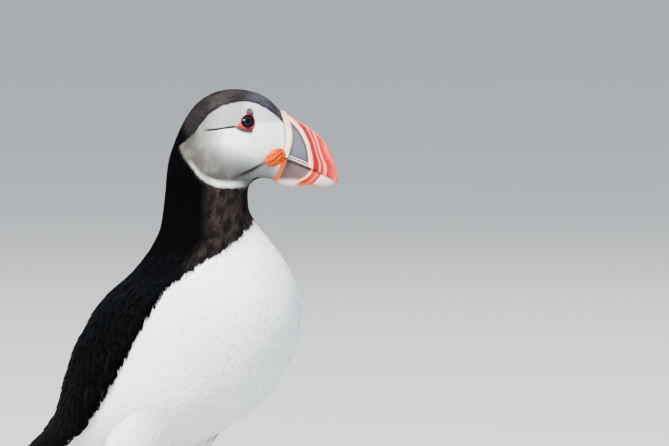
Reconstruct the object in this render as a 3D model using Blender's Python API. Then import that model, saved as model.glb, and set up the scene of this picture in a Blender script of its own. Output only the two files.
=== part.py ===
"""An Atlantic puffin standing alert, life size, as closed solids for each part of the body.

The bird is drawn in its own plane of symmetry, as if it looked straight ahead: "forward" and "up" in
millimetres from the floor. The head is then turned to its left about the upright line of the neck.
World axes: the body faces -Y, its left side is +X, and +Z is up.
"""

import math
from typing import NamedTuple

import bmesh
import bpy
import numpy as np
from mathutils import Matrix, Vector
from mathutils.bvhtree import BVHTree

MM = 0.001
GAP = 0.3  # clear space between neighbouring solids, mm

# Driving dimensions, mm and degrees
HEAD_TURN = 32.0  # how far the head looks to its left
NECK_LINE = -5.0  # forward place of the upright line that the head turns about
CENTRE_FORWARD = -43.35  # forward place of the middle of the whole bird's box
CENTRE_LEFT = 0.0  # sideways place of the middle of the whole bird's box
TAIL_DROP = 40.0  # slope of the tail below the level
TAIL_LENGTH = 48.0
TAIL_ROOT = (-100.6, 52.0)
EYE_RADIUS = 4.6
EYE_SHOWS = 1.3  # how far the eyeball stands out of the head
EYE_AT = (15.6, 223.6)
BILL_SIDE = 9.2  # half width that the corner of the mouth stands clear of, ahead of the head
FRONT_BOW = 3.85  # how far the feathers' front edge bows forward between the bill's top and bottom
BOW_FADES = 2.0  # station where that bow has gone
ANKLE = (-50.0, 34.0)
TOE_ROOT = (-42.0, 5.0)
LEG_SPREAD = 21.0  # sideways place of each leg
TOE_SEGMENTS = 8


class Station(NamedTuple):
    """One cross-section of the body: where it meets the back and front outlines, and its width."""

    back: tuple
    front: tuple
    half_width: float
    widest: float  # height of the widest point, as a share of the way from front to back


# The body as one form, from the base of the bill over the head and down to the tail.
BODY = [
    Station((32.3, 228.3), (28.5, 193.5), 8.6, 0.38),
    Station((25.8, 234.8), (25.2, 194.4), 12.8, 0.40),
    Station((17.7, 238.5), (21.6, 194.6), 16.2, 0.42),
    Station((8.6, 239.7), (18.6, 193.4), 18.6, 0.44),
    Station((-1.0, 238.0), (16.6, 191.4), 19.8, 0.46),
    Station((-10.4, 232.0), (15.9, 189.2), 20.3, 0.47),
    Station((-17.2, 222.2), (15.7, 187.0), 20.5, 0.48),
    Station((-22.0, 211.0), (15.8, 184.6), 20.4, 0.49),
    Station((-24.8, 200.0), (16.0, 182.0), 20.3, 0.50),
    Station((-26.0, 187.5), (16.6, 178.5), 20.7, 0.50),
    Station((-27.4, 176.0), (19.8, 173.0), 23.0, 0.50),
    Station((-29.6, 164.8), (26.5, 164.5), 27.5, 0.50),
    Station((-36.4, 155.4), (36.0, 152.5), 34.0, 0.50),
    Station((-46.6, 146.8), (43.0, 139.0), 39.6, 0.50),
    Station((-57.6, 137.0), (45.0, 124.5), 42.6, 0.50),
    Station((-67.2, 126.0), (41.8, 110.0), 43.6, 0.50),
    Station((-74.2, 113.6), (34.0, 95.5), 43.2, 0.50),
    Station((-79.2, 100.8), (22.0, 81.8), 41.4, 0.50),
    Station((-83.4, 88.4), (5.0, 69.8), 38.0, 0.50),
    Station((-88.0, 77.4), (-15.0, 60.0), 32.6, 0.50),
    Station((-93.8, 68.2), (-40.0, 52.5), 25.4, 0.50),
    Station((-100.0, 62.2), (-67.0, 48.5), 18.4, 0.50),
    Station((-106.0, 57.6), (-94.6, 46.5), 13.0, 0.45),
    # beyond the tail's root only the folded wings lie on this form
    Station((-116.7, 49.6), (-112.4, 44.3), 11.5, 0.00),
    Station((-129.2, 36.6), (-126.2, 32.7), 10.0, 0.00),
    Station((-140.5, 25.2), (-138.4, 22.4), 8.0, 0.00),
]
FACE, JAW, SHOULDER, VENT = 0.0, 8.0, 10.6, 22.0  # stations where the body is parted
TURN_STARTS, TURN_ENDS = 12.6, 8.0  # stations between which the neck twists

class BillStation(NamedTuple):
    """One cross-section of a bill part: outer edge, mouth edge, half width there, and forward bow."""

    outer: tuple
    mouth: tuple
    half_width: float
    bow: float = 0.0


UPPER_BILL = [
    BillStation((35.8, 226.7), (36.3, 204.9), 7.6, 2.9),
    BillStation((42.0, 222.8), (40.8, 203.1), 7.1, 2.3),
    BillStation((49.0, 218.0), (46.4, 200.5), 6.1, 1.6),
    BillStation((55.0, 211.6), (51.8, 197.8), 4.9, 0.8),
    BillStation((58.9, 204.0), (55.8, 195.6), 3.7, 0.2),
    BillStation((60.6, 197.6), (58.1, 194.2), 2.6),
    BillStation((60.8, 193.6), (59.7, 192.9), 1.3),
]
LOWER_BILL = [
    BillStation((34.6, 204.8), (29.2, 193.4), 7.4),
    BillStation((40.4, 202.7), (36.0, 190.9), 6.8),
    BillStation((46.2, 200.1), (44.4, 191.4), 5.7),
    BillStation((51.6, 197.4), (51.2, 190.9), 4.3),
    BillStation((55.6, 195.2), (55.8, 191.4), 3.0),
    BillStation((58.6, 193.2), (58.8, 192.0), 1.3),
]
CERE = [
    BillStation((32.9, 228.2), (33.9, 205.8), 8.9, 1.45),
    BillStation((34.3, 227.6), (35.0, 205.7), 9.0, 2.3),
    BillStation((35.4, 226.9), (35.9, 205.5), 8.3, 2.95),
]

# The folded wing, by place along the body form: lower edge, upper edge (degrees round it), thickness.
WING = [
    (12.75, 2.0, 9.0, 1.0),
    (13.3, 1.0, 26.0, 3.0),
    (14.5, 3.5, 46.0, 4.4),
    (16.5, 6.0, 60.0, 4.8),
    (18.5, 8.0, 66.0, 4.4),
    (20.5, 10.0, 66.0, 3.4),
    (22.0, 15.0, 66.0, 2.8),
    (23.2, 24.0, 64.0, 2.2),
    (24.2, 34.0, 60.0, 1.6),
    (24.7, 44.0, 56.0, 0.9),
]
WING_PARTS = {"wing": (12.75, 20.4), "primaries": (20.4, 24.7)}

# Thigh: (forward, up) of its middle line from the belly down, radius
THIGH_LINE = [
    ((-24, 76), 13),
    ((-31, 66), 14.5),
    ((-38, 57), 14),
    ((-44, 49), 11),
    ((-48, 43), 7.6),
    ((-49.7, 39.4), 5.6),
    ((-49.7, 37), 4.8),
]

# Toes: name, angle off the foot's own line (outwards positive), length, radius at root and tip
TOES = [
    ("outer", 24.0, 35.0, 2.1, 1.5),
    ("middle", 2.0, 38.0, 2.3, 1.6),
    ("inner", -24.0, 28.0, 2.0, 1.5),
]
FOOT_SPLAY = 9.0
CLAW_LENGTH = 7.0

# Colours and finishes by part: base colour, roughness
FINISH = {
    "black_plumage": ((0.012, 0.011, 0.012), 0.55),
    "face_plumage": ((0.62, 0.63, 0.64), 0.75),
    "white_plumage": ((0.80, 0.81, 0.82), 0.75),
    "bill_red": ((0.78, 0.08, 0.03), 0.35),
    "bill_grey": ((0.22, 0.22, 0.26), 0.40),
    "cere_cream": ((0.80, 0.62, 0.45), 0.50),
    "gape_orange": ((0.95, 0.32, 0.03), 0.50),
    "leg_orange": ((0.88, 0.22, 0.02), 0.50),
    "horn_black": ((0.02, 0.018, 0.016), 0.35),
    "eye_dark": ((0.012, 0.011, 0.016), 0.08),
    "eye_plate_grey": ((0.16, 0.17, 0.19), 0.45),
}


def smooth_curve(values):
    """A natural cubic spline through rows of values at 0, 1, 2...; returns a function of place."""
    y = np.asarray(values, float).reshape(len(values), -1)
    n = len(y)
    system = np.diag(np.full(n, 4.0)) + np.diag(np.ones(n - 1), 1) + np.diag(np.ones(n - 1), -1)
    system[0, :2], system[-1, -2:] = (1, 0), (0, 1)
    right = np.zeros_like(y)
    right[1:-1] = 6 * (y[2:] - 2 * y[1:-1] + y[:-2])
    bend = np.linalg.solve(system, right)

    def at(place):
        place = np.atleast_1d(np.asarray(place, float))
        i = np.clip(place.astype(int), 0, n - 2)
        b = (place - i)[..., None]
        a = 1 - b
        return a * y[i] + b * y[i + 1] + ((a**3 - a) * bend[i] + (b**3 - b) * bend[i + 1]) / 6

    return at


def station_curve(stations):
    """The spline of a list of stations: back and front outline, half width and widest height."""
    return smooth_curve([(*s.back, *s.front, s.half_width, s.widest) for s in stations])


def smooth_step(x):
    x = np.clip(x, 0, 1)
    return x * x * (3 - 2 * x)


def turned(points, angle):
    """Points (left, forward, up) turned to the left by an angle in degrees about the neck's line."""
    angle = np.radians(angle)
    left, forward = points[..., 0], points[..., 1] - NECK_LINE
    return np.stack(
        [
            left * np.cos(angle) + forward * np.sin(angle),
            forward * np.cos(angle) - left * np.sin(angle) + NECK_LINE,
            points[..., 2],
        ],
        -1,
    )


def to_world(points):
    """(left, forward, up) in mm to world metres."""
    points = np.asarray(points, float)
    return np.stack(
        [points[..., 0] - CENTRE_LEFT, CENTRE_FORWARD - points[..., 1], points[..., 2]], -1
    ) * MM


body_at = station_curve(BODY)


def body_point(place, around, twist=True):
    """The body's surface at a place along it and degrees round it (0 left, 90 back, 180 right)."""
    place, around = np.broadcast_arrays(np.asarray(place, float), np.radians(around))
    row = body_at(place.ravel()).reshape(*place.shape, 6)
    back, front, half_width, widest = row[..., 0:2], row[..., 2:4], row[..., 4], row[..., 5]
    across = back - front
    height = np.linalg.norm(across, axis=-1)
    middle = front + widest[..., None] * across
    c, s = np.cos(around), np.sin(around)
    rise = np.where(s > 0, (1 - widest) * height, widest * height) * s
    flat = middle + across / np.maximum(height, 1e-9)[..., None] * rise[..., None]
    share = widest + rise / np.maximum(height, 1e-9)
    bow = FRONT_BOW * np.clip(1 - place / BOW_FADES, 0, 1) ** 2 * 4 * share * (1 - share)
    flat = flat + np.stack([bow, 0 * bow], -1)
    points = np.stack([half_width * c, flat[..., 0], flat[..., 1]], -1)
    if not twist:
        return points
    turn = HEAD_TURN * smooth_step((TURN_STARTS - place) / (TURN_STARTS - TURN_ENDS))
    return turned(points, turn)


def body_normal(place, around):
    """The outward direction of the body's surface, from its slopes along and round."""
    step = 0.01
    place, around = np.asarray(place), np.asarray(around)
    along = body_point(place + step, around) - body_point(place - step, around)
    round_it = body_point(place, around + step) - body_point(place, around - step)
    normal = np.cross(round_it, along)
    return normal / np.linalg.norm(normal, axis=-1, keepdims=True)


def material(name):
    """The part's Principled material, made once."""
    found = bpy.data.materials.get(name)
    if found:
        return found
    colour, roughness = FINISH[name]
    made = bpy.data.materials.new(name)
    made.use_nodes = True
    shader = made.node_tree.nodes["Principled BSDF"]
    shader.inputs["Base Color"].default_value = (*colour, 1)
    shader.inputs["Roughness"].default_value = roughness
    shader.inputs["Metallic"].default_value = 0.0
    made.diffuse_color = (*colour, 1)
    return made


def add_object(name, mesh_builder, finish, smooth_under=50.0):
    """A named object from a bmesh, with its faces turned outwards and shaded smooth."""
    bmesh.ops.recalc_face_normals(mesh_builder, faces=mesh_builder.faces)
    mesh = bpy.data.meshes.new(name)
    mesh_builder.to_mesh(mesh)
    mesh_builder.free()
    mesh.shade_smooth()
    mesh.set_sharp_from_angle(angle=math.radians(smooth_under))
    obj = bpy.data.objects.new(name, mesh)
    mesh.materials.append(material(finish))
    bpy.context.scene.collection.objects.link(obj)
    return obj


def close_end(made, row, fold):
    """Closes a ring with strips between facing points: point i faces point fold - i."""
    count = len(row)
    first, second = fold // 2, (fold + 1) // 2
    for step in range(1, count // 2 + 1):
        a, b = (fold // 2 - step) % count, ((fold + 1) // 2 + step) % count
        corners = list(dict.fromkeys((row[first], row[a], row[b], row[second])))
        if len(corners) > 2 and a != second:
            made.faces.new(corners)
        if a == b or (a - b) % count == 1:
            break
        first, second = a, b


def loft(rings, fold=None):
    """A closed bmesh through rings of points (left, forward, up in mm); fold says how its ends close."""
    made = bmesh.new()
    rows = [[made.verts.new(p) for p in to_world(ring)] for ring in rings]
    for row, following in zip(rows, rows[1:]):
        for i in range(len(row)):
            j = (i + 1) % len(row)
            made.faces.new((row[i], row[j], following[j], following[i]))
    for row in (rows[0], rows[-1]):
        if fold is None:
            made.faces.new(row)
        else:
            close_end(made, row, fold)
    return made


def grow(rings, by):
    """Rings moved outwards by a distance, each from its own middle line, for a cutter."""
    grown = []
    for ring in rings:
        out = ring - ring.mean(0)
        grown.append(ring + by * out / np.linalg.norm(out, axis=1)[:, None])
    return grown


def body_rings(start, end, count, segments):
    """The body's rings from one parting to the next, with half a gap left at each end."""
    around = np.arange(segments) * 360 / segments
    places = np.linspace(start, end, count)
    rings = [body_point(np.full(segments, p), around) for p in places]
    for at, direction in ((0, 1), (-1, -1)):
        near = rings[at + direction].mean(0) - rings[at].mean(0)
        edge = rings[at] - rings[at].mean(0)
        normal = np.cross(edge[0], edge[segments // 4])
        normal /= np.linalg.norm(normal)
        rings[at] = rings[at] + normal * np.sign(normal @ near) * GAP / 2
    return rings


def cut_by(obj, cutter):
    """A Boolean that takes the cutter, which isn't part of the bird, out of an object."""
    cutter.hide_render = True
    cutter.display_type = "WIRE"
    step = obj.modifiers.new("cut_" + cutter.name, "BOOLEAN")
    step.operation = "DIFFERENCE"
    step.solver = "EXACT"
    step.object = cutter


def join_with(obj, other):
    """A Boolean that adds another object's shape to this one."""
    other.hide_render = True
    other.display_type = "WIRE"
    step = obj.modifiers.new("join_" + other.name, "BOOLEAN")
    step.operation = "UNION"
    step.solver = "EXACT"
    step.object = other


def head_surface():
    """The unturned head as a searchable surface, in mm."""
    around = np.arange(72) * 5.0
    rows = [body_point(np.full(72, p), around, twist=False) for p in np.linspace(0, 9, 91)]
    points = [Vector(p) for row in rows for p in row]
    faces = [
        (i * 72 + j, i * 72 + (j + 1) % 72, (i + 1) * 72 + (j + 1) % 72, (i + 1) * 72 + j)
        for i in range(90)
        for j in range(72)
    ]
    return BVHTree.FromPolygons(points, faces)


def on_face(surface, forward, up, side):
    """The point and outward direction of the head's side, or of the bill's side ahead of it."""
    point, normal, _, _ = surface.ray_cast(Vector((side * 60, forward, up)), Vector((-side, 0, 0)))
    if point is None:
        return np.array([side * BILL_SIDE, forward, up]), np.array([side, 0.0, 0.0])
    if normal.x * side < 0:
        normal = -normal
    return np.array(point), np.array(normal)


def plate_on_face(name, surface, outline, side, thickness, finish, rounded=0.7):
    """A thin solid lying on the head's side: its outline, then a smaller raised top."""
    outline = np.asarray(outline, float)
    middle = outline.mean(0)
    rings = []
    top = GAP + thickness
    under = ((0.2, GAP), (0.6, GAP), (1, GAP))
    for share, lift in (*under, (1, GAP + 0.5 * thickness), (rounded, top), (0.2, top)):
        ring = []
        for forward, up in middle + (outline - middle) * share:
            point, normal = on_face(surface, forward, up, side)
            ring.append(point + normal * lift)
        rings.append(np.array(ring))
    return add_object(name, loft([turned(r, HEAD_TURN) for r in rings]), finish)


def ellipse(middle, size, tilt=0.0, count=16):
    """Points of a tilted ellipse: middle, half sizes, degrees."""
    angle = np.arange(count) * 2 * math.pi / count
    tilt = math.radians(tilt)
    x, y = size[0] * np.cos(angle), size[1] * np.sin(angle)
    ahead = middle[0] + x * math.cos(tilt) - y * math.sin(tilt)
    up = middle[1] + x * math.sin(tilt) + y * math.cos(tilt)
    return np.stack([ahead, up], 1)


def blade_rings(stations, count, segments, ridge):
    """Rings of a bill half: a tall narrow section whose sides close on a rounded ridge."""
    curve = smooth_curve([(*s.outer, *s.mouth, s.half_width, s.bow) for s in stations])
    rings = []
    for row in curve(np.linspace(0, len(stations) - 1, count)):
        outer, mouth, half_width, bow = row[0:2], row[2:4], row[4], row[5]
        share = np.linspace(0, 1, segments)
        swell = (1 - share**2.6) ** 0.5 * (1 - ridge * share)
        side = mouth + (outer - mouth) * share[:, None]
        side[:, 0] += bow * 4 * share * (1 - share)
        left = np.stack([half_width * swell, side[:, 0], side[:, 1]], 1)
        right = left[-2::-1] * (-1, 1, 1)
        rings.append(np.vstack([left, right]))
    return rings


def make_body():
    """Head, neck and trunk, parted by thin cuts."""
    head = add_object("head", loft(body_rings(FACE, JAW, 19, 28), 14), "face_plumage")
    add_object("neck", loft(body_rings(JAW, SHOULDER, 6, 28), 14), "black_plumage")
    add_object("trunk", loft(body_rings(SHOULDER, VENT, 21, 28), 14), "white_plumage")
    return head


def make_eyes(head, surface):
    """Eyeballs in their sockets, and the horny plates above and below them."""
    upper_plate = ellipse((16.4, 228.8), (1.6, 1.6), 8, 10)
    edge = ellipse((0.0, 0.0), (1.0, 1.0), 0, 12).T
    forward = 13.7 + 4.3 * edge[0]
    up = 219.5 - 0.34 * (forward - 13.7) + 0.5 * edge[1] - 0.3 * edge[1] ** 2
    lower_plate = np.stack([forward, up], 1)
    for side, word in ((1, "left"), (-1, "right")):
        point, normal = on_face(surface, *EYE_AT, side)
        middle = to_world(turned(point - normal * (EYE_RADIUS - EYE_SHOWS), HEAD_TURN))
        for name, radius, finish in (
            (f"eye_{word}", EYE_RADIUS, "eye_dark"),
            (f"socket_{word}", EYE_RADIUS + GAP, "face_plumage"),
        ):
            ball = bmesh.new()
            place = Matrix.Translation(Vector(middle))
            size = radius * MM
            bmesh.ops.create_uvsphere(ball, u_segments=16, v_segments=10, radius=size, matrix=place)
            made = add_object(name, ball, finish)
            if name.startswith("socket"):
                cut_by(head, made)
        plate_on_face(f"eye_plate_upper_{word}", surface, upper_plate, side, 1.0, "eye_plate_grey")
        plate_on_face(f"eye_plate_lower_{word}", surface, lower_plate, side, 0.9, "eye_plate_grey")


def make_bill(surface):
    """The cere, both halves of the bill and the rosette at each corner of the mouth."""
    for name, stations, count, ridge, finish in (
        ("cere", CERE, 5, 0.62, "cere_cream"),
        ("bill_upper", UPPER_BILL, 17, 0.55, "bill_red"),
    ):
        rings = blade_rings(stations, count, 9, ridge)
        add_object(name, loft([turned(r, HEAD_TURN) for r in rings], 16), finish)
    rings = []
    angle = np.arange(16) * 2 * math.pi / 16
    curve = smooth_curve([(*s.outer, *s.mouth, s.half_width) for s in LOWER_BILL])
    for row in curve(np.linspace(0, len(LOWER_BILL) - 1, 14)):
        top, bottom, half_width = row[0:2], row[2:4], row[4]
        share = (1 + np.sin(angle)) / 2
        squared = np.abs(np.cos(angle)) ** 0.6 * np.sign(np.cos(angle))
        flat = bottom + (top - bottom) * share[:, None] ** 0.8
        width = half_width * squared * (0.55 + 0.45 * share)
        rings.append(turned(np.stack([width, flat[:, 0], flat[:, 1]], 1), HEAD_TURN))
    add_object("bill_lower", loft(rings, 8), "bill_grey")
    for side, word in ((1, "left"), (-1, "right")):
        outline = ellipse((28.8, 205.0), (4.9, 3.4), 20, 12)
        plate_on_face(f"gape_rosette_{word}", surface, outline, side, 2.0, "gape_orange", 0.62)


def wing_rings(start, end, count, side, across=7):
    """Rings of the folded wing between two places: under side on the body, upper side proud of it."""
    rows = np.array(WING)
    rings = []
    for place in np.linspace(start, end, count):
        low, high, thick = (np.interp(place, rows[:, 0], rows[:, k]) for k in (1, 2, 3))
        share = (1 - np.cos(np.linspace(0, math.pi, across))) / 2
        around = low + (high - low) * share
        around = around if side > 0 else 180 - around
        point, normal = body_point(place, around), body_normal(place, around)
        fall = 1 - 0.6 * share
        swell = 0.5 + (thick - 0.5) * np.sqrt(np.maximum(0.0, 1 - (2 * share - 1) ** 4)) * fall
        under = point + normal * 2.5 * GAP
        upper = point + normal * (2.5 * GAP + swell)[:, None]
        rings.append(np.vstack([under, upper[::-1]]))
    return rings


def make_wings():
    """Each folded wing: the arm with its coverts, then the long primaries over the tail."""
    for side, word in ((1, "left"), (-1, "right")):
        for part, (start, end) in WING_PARTS.items():
            leave = 0.08  # of a station: the gap between the two parts
            rings = wing_rings(start, end - leave, 15 if part == "wing" else 11, side)
            add_object(f"{part}_{word}", loft(rings, 13), "black_plumage")


def make_tail():
    """The short fanned tail as one slab, with a scalloped end for its sixteen feathers."""
    drop = math.radians(TAIL_DROP)
    along = np.array([-math.cos(drop), -math.sin(drop)])
    above = np.array([-math.sin(drop), math.cos(drop)])
    feathers, spread, root_half = 16, 26.0, 8.5
    count = 2 * feathers + 1
    share = np.linspace(-1, 1, count)
    scallop = 1 - 0.035 * np.abs(np.cos(share * feathers * math.pi / 2))
    rings = []
    for step in np.linspace(0, 1, 4):
        angle = np.radians(spread / 2 * share * 1.1)
        reach = 1.2 + step * TAIL_LENGTH * scallop * (1 - 0.10 * share**2) - 1.2 * step
        left = root_half * share + reach * np.sin(angle) * 1.15
        camber = -1.6 * share**2 * (1 + step)
        thick = (1.5 - 1.15 * step) * (1 - 0.5 * share**2) + 0.05
        middle = np.array(TAIL_ROOT) + np.outer(reach * np.cos(angle), along)
        upper = middle + np.outer(camber + thick, above)
        lower = middle + np.outer(camber - thick, above)
        top = np.stack([left, upper[:, 0], upper[:, 1]], 1)
        base = np.stack([left, lower[:, 0], lower[:, 1]], 1)
        rings.append(np.vstack([top, base[::-1]]))
    add_object("tail", loft(rings, 2 * count - 1), "black_plumage")


def tube(path, radii, segments, flat_floor=False, squeeze=1.0):
    """Rings of a round tube through points, each square to the path; squeeze narrows it sideways."""
    path = np.asarray(path, float)
    rings = []
    for i, (point, radius) in enumerate(zip(path, radii)):
        ahead = path[min(i + 1, len(path) - 1)] - path[max(i - 1, 0)]
        ahead /= np.linalg.norm(ahead)
        side = np.cross(ahead, (0, 0, 1)) if abs(ahead[2]) < 0.75 else np.array([1.0, 0, 0])
        side /= np.linalg.norm(side)
        other = np.cross(side, ahead)
        angle = (np.arange(segments) + 0.5) * 2 * math.pi / segments
        ring = point + radius * (
            squeeze * np.outer(np.cos(angle), side) + np.outer(np.sin(angle), other)
        )
        if flat_floor:
            ring[:, 2] = np.maximum(ring[:, 2], 0)
        rings.append(ring)
    return rings


def toe_line(side, angle, length):
    """A toe's centre line on the floor, from the root joint outwards."""
    turn = math.radians(FOOT_SPLAY + angle) * side
    ahead = np.array([math.sin(turn), math.cos(turn)])
    root = np.array([side * LEG_SPREAD, TOE_ROOT[0]])
    return [root + ahead * d for d in np.linspace(0, length, 6)]


def make_foot(side, word):
    """Three toes joined by their web, and a claw on each."""
    parts, tips = [], []
    for name, angle, length, root, tip in TOES:
        line = toe_line(side, angle, length)
        radii = np.linspace(root, tip, len(line)) * (1 + 0.10 * np.cos(np.arange(len(line)) * math.pi))
        path = [(*p, 0.82 * r) for p, r in zip(line, radii)]
        path[0] = (*line[0], 2.6)
        toe = loft(tube(path, radii, TOE_SEGMENTS, True))
        parts.append(add_object(f"toe_{name}_{word}", toe, "leg_orange"))
        ahead = (line[-1] - line[-2]) / np.linalg.norm(line[-1] - line[-2])
        tips.append(line[-1])
        claw = []
        for share in np.linspace(0, 1, 6):
            place = line[-1] + ahead * (3 * GAP + share * CLAW_LENGTH)
            claw.append((*place, 1.35 + 1.0 * math.sin(math.pi * share) - 0.75 * share))
        sizes = 1.25 * (1 - np.linspace(0, 0.80, 6) ** 1.3)
        add_object(f"claw_{name}_{word}", loft(tube(claw, sizes, 8, True)), "horn_black")
    root = np.array([side * LEG_SPREAD, TOE_ROOT[0]])
    edge = [root]
    for a, b in ((tips[0], tips[1]), (tips[1], tips[2])):
        inset = [root + (tip - root) * 0.93 for tip in (a, b)]
        for share in np.linspace(0, 1, 6):
            point = inset[0] + (inset[1] - inset[0]) * share
            edge.append(point - (point - root) * 0.13 * math.sin(math.pi * share))
    web = loft([np.array([(*p, z) for p in edge]) for z in (0.2, 1.2)])
    foot = add_object(f"foot_{word}", web, "leg_orange")
    heel_path = [(*root, 2.4), (*(root + (0, -0.9)), 5.2), (*(root + (0, -1.9)), 8.6)]
    heel = add_object(f"heel_{word}", loft(tube(heel_path, (3.1, 2.9, 2.5), 12)), "leg_orange")
    for other in (*parts, heel):
        join_with(foot, other)


def make_legs():
    """Feathered thighs let into the belly, bare shanks and webbed feet."""
    rings = grow(body_rings(SHOULDER, VENT, 21, 28), GAP + 0.15)
    belly = add_object("belly_clearance", loft(rings), "white_plumage")
    for side, word in ((1, "left"), (-1, "right")):
        x = side * LEG_SPREAD
        path = [(x, *place) for place, _ in THIGH_LINE]
        radii = [radius for _, radius in THIGH_LINE]
        thigh = add_object(f"thigh_{word}", loft(tube(path, radii, 18)), "white_plumage")
        cut_by(thigh, belly)
        top = np.array([x, ANKLE[0] + 0.3, ANKLE[1] + 1.9])
        foot = np.array([x, TOE_ROOT[0] - 2.0, 9.2])
        line = [foot + (top - foot) * share for share in np.linspace(0, 1, 7)]
        knob = [2.5, 2.3, 2.25, 2.3, 2.6, 3.3, 3.2]
        add_object(f"shank_{word}", loft(tube(line, knob, 12, squeeze=0.8)), "leg_orange")
        make_foot(side, word)


def main():
    """Clears the scene and builds the whole bird."""
    for obj in list(bpy.data.objects):
        bpy.data.objects.remove(obj)
    surface = head_surface()
    head = make_body()
    make_eyes(head, surface)
    make_bill(surface)
    make_wings()
    make_tail()
    make_legs()


main()
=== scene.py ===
"""Atlantic puffin, life size: skin, feathers, bill, eyes and feet laid over the solid model.

Shapes are worked out in the bird's own plane of symmetry, in millimetres, as (left, forward, up) from the
floor, as if it looked straight ahead. The head is then turned to its left about the neck's upright line.
"""

from __future__ import annotations

import logging
import math
from dataclasses import dataclass
from enum import Enum
from typing import ClassVar, Iterable, Sequence

import bmesh
import bpy
import numpy as np
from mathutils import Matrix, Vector
from mathutils.bvhtree import BVHTree


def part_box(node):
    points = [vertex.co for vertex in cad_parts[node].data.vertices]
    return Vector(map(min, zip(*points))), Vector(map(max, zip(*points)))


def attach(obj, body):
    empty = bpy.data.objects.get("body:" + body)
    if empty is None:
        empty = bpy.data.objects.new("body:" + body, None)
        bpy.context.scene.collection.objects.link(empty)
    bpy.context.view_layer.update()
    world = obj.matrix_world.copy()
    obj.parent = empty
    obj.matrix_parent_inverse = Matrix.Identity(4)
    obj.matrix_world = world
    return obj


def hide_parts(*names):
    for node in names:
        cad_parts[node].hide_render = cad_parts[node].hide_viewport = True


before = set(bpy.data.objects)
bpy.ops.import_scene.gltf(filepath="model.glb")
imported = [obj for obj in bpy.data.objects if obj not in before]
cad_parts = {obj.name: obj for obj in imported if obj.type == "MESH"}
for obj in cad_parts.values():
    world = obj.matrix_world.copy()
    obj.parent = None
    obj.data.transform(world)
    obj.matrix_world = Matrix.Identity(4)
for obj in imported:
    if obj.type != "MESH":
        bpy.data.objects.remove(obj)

log = logging.getLogger("puffin")

MM = 0.001
HEAD_TURN = 32.0  # degrees to the bird's left
NECK_LINE = -5.0  # forward place of the upright line the head turns about
CENTRE_FORWARD = -43.35  # forward place of the frame's middle
Array = np.ndarray
Pair = tuple[float, float]
Colour = tuple[float, float, float]
Stops = tuple[tuple[float, Colour], ...]
Material = bpy.types.Material
Socket = bpy.types.NodeSocket
Piece = bpy.types.Object


class Side(Enum):
    """The bird's own left and right; the value is the sign of the sideways axis."""

    LEFT = 1
    RIGHT = -1

    @property
    def word(self) -> str:
        """The side's name as it ends a solid's name."""
        return self.name.lower()


class Slot(Enum):
    """The record's material slots."""

    BLACK = "black_plumage"
    FACE = "face_plumage"
    WHITE = "white_plumage"
    BILL_RED = "bill_red"
    BILL_GREY = "bill_grey"
    CERE = "cere_cream"
    GAPE = "gape_orange"
    LEG = "leg_orange"
    HORN = "horn_black"
    EYE = "eye_dark"
    EYE_PLATE = "eye_plate_grey"


# ---- Numbers


def eased(x: Array) -> Array:
    """Rises smoothly from 0 to 1 as x does."""
    x = np.clip(x, 0.0, 1.0)
    return x * x * (3 - 2 * x)


def bell(x: Array, wide: float) -> Array:
    """Is 1 where x is 0 and falls off on both sides over a width."""
    return np.exp(-((x / wide) ** 2))


def full_turn(count: int) -> Array:
    """Evenly spaced angles once round, in radians."""
    return np.linspace(0, 2 * math.pi, count, endpoint=False)


def read_off(rows: Sequence[Pair], x: Array) -> Array:
    """Values at x from a table of places and values, straight between its rows."""
    return np.interp(x, *np.transpose(rows))


def unit(v: Array) -> Array:
    """Vectors scaled to length 1."""
    return v / np.maximum(np.linalg.norm(v, axis=-1, keepdims=True), 1e-9)


class Curve:
    """A natural cubic spline through rows of values at places 0, 1, 2 and so on."""

    def __init__(self, rows: Sequence[Sequence[float]]) -> None:
        """Solves the spline.

        Args:
            rows: the values at each whole place.
        """
        self.y = np.asarray(rows, float)
        n = len(self.y)
        system = np.diag(np.full(n, 4.0)) + np.diag(np.ones(n - 1), 1) + np.diag(np.ones(n - 1), -1)
        system[0, :2], system[-1, -2:] = (1, 0), (0, 1)
        right = np.zeros_like(self.y)
        right[1:-1] = 6 * (self.y[2:] - 2 * self.y[1:-1] + self.y[:-2])
        self.bend = np.linalg.solve(system, right)

    def at(self, place: Array) -> Array:
        """Values at any places.

        Args:
            place: places along the curve, of any shape.

        Returns:
            An array of that shape with one more axis for the values.
        """
        place = np.asarray(place, float)
        i = np.clip(place.astype(int), 0, len(self.y) - 2)
        b = (place - i)[..., None]
        a = 1 - b
        bent = ((a**3 - a) * self.bend[i] + (b**3 - b) * self.bend[i + 1]) / 6
        return a * self.y[i] + b * self.y[i + 1] + bent


def lattice_noise(points: Array, size: float, seed: int) -> Array:
    """Smooth noise from 0 to 1 that depends only on place.

    Args:
        points: places, with the three axes last.
        size: the grain's size, in the points' unit.
        seed: picks one noise from many.

    Returns:
        The noise at each point.
    """
    q = np.asarray(points, float) / size + 200.0
    i = np.floor(q).astype(np.int64)
    f = q - i
    f = f * f * (3 - 2 * f)
    total = 0.0
    for dx in (0, 1):
        for dy in (0, 1):
            for dz in (0, 1):
                h = (i[..., 0] + dx) * 374761393 + (i[..., 1] + dy) * 668265263
                h = (h + (i[..., 2] + dz) * 1442695041 + seed * 144665) & 0xFFFFFFFF
                h = ((h ^ (h >> 13)) * 1274126177) & 0xFFFFFFFF
                h = ((h ^ (h >> 16)) & 0xFFFF) / 65535.0
                weight = (f[..., 0] if dx else 1 - f[..., 0]) * (f[..., 1] if dy else 1 - f[..., 1])
                total = total + h * weight * (f[..., 2] if dz else 1 - f[..., 2])
    return total


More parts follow.
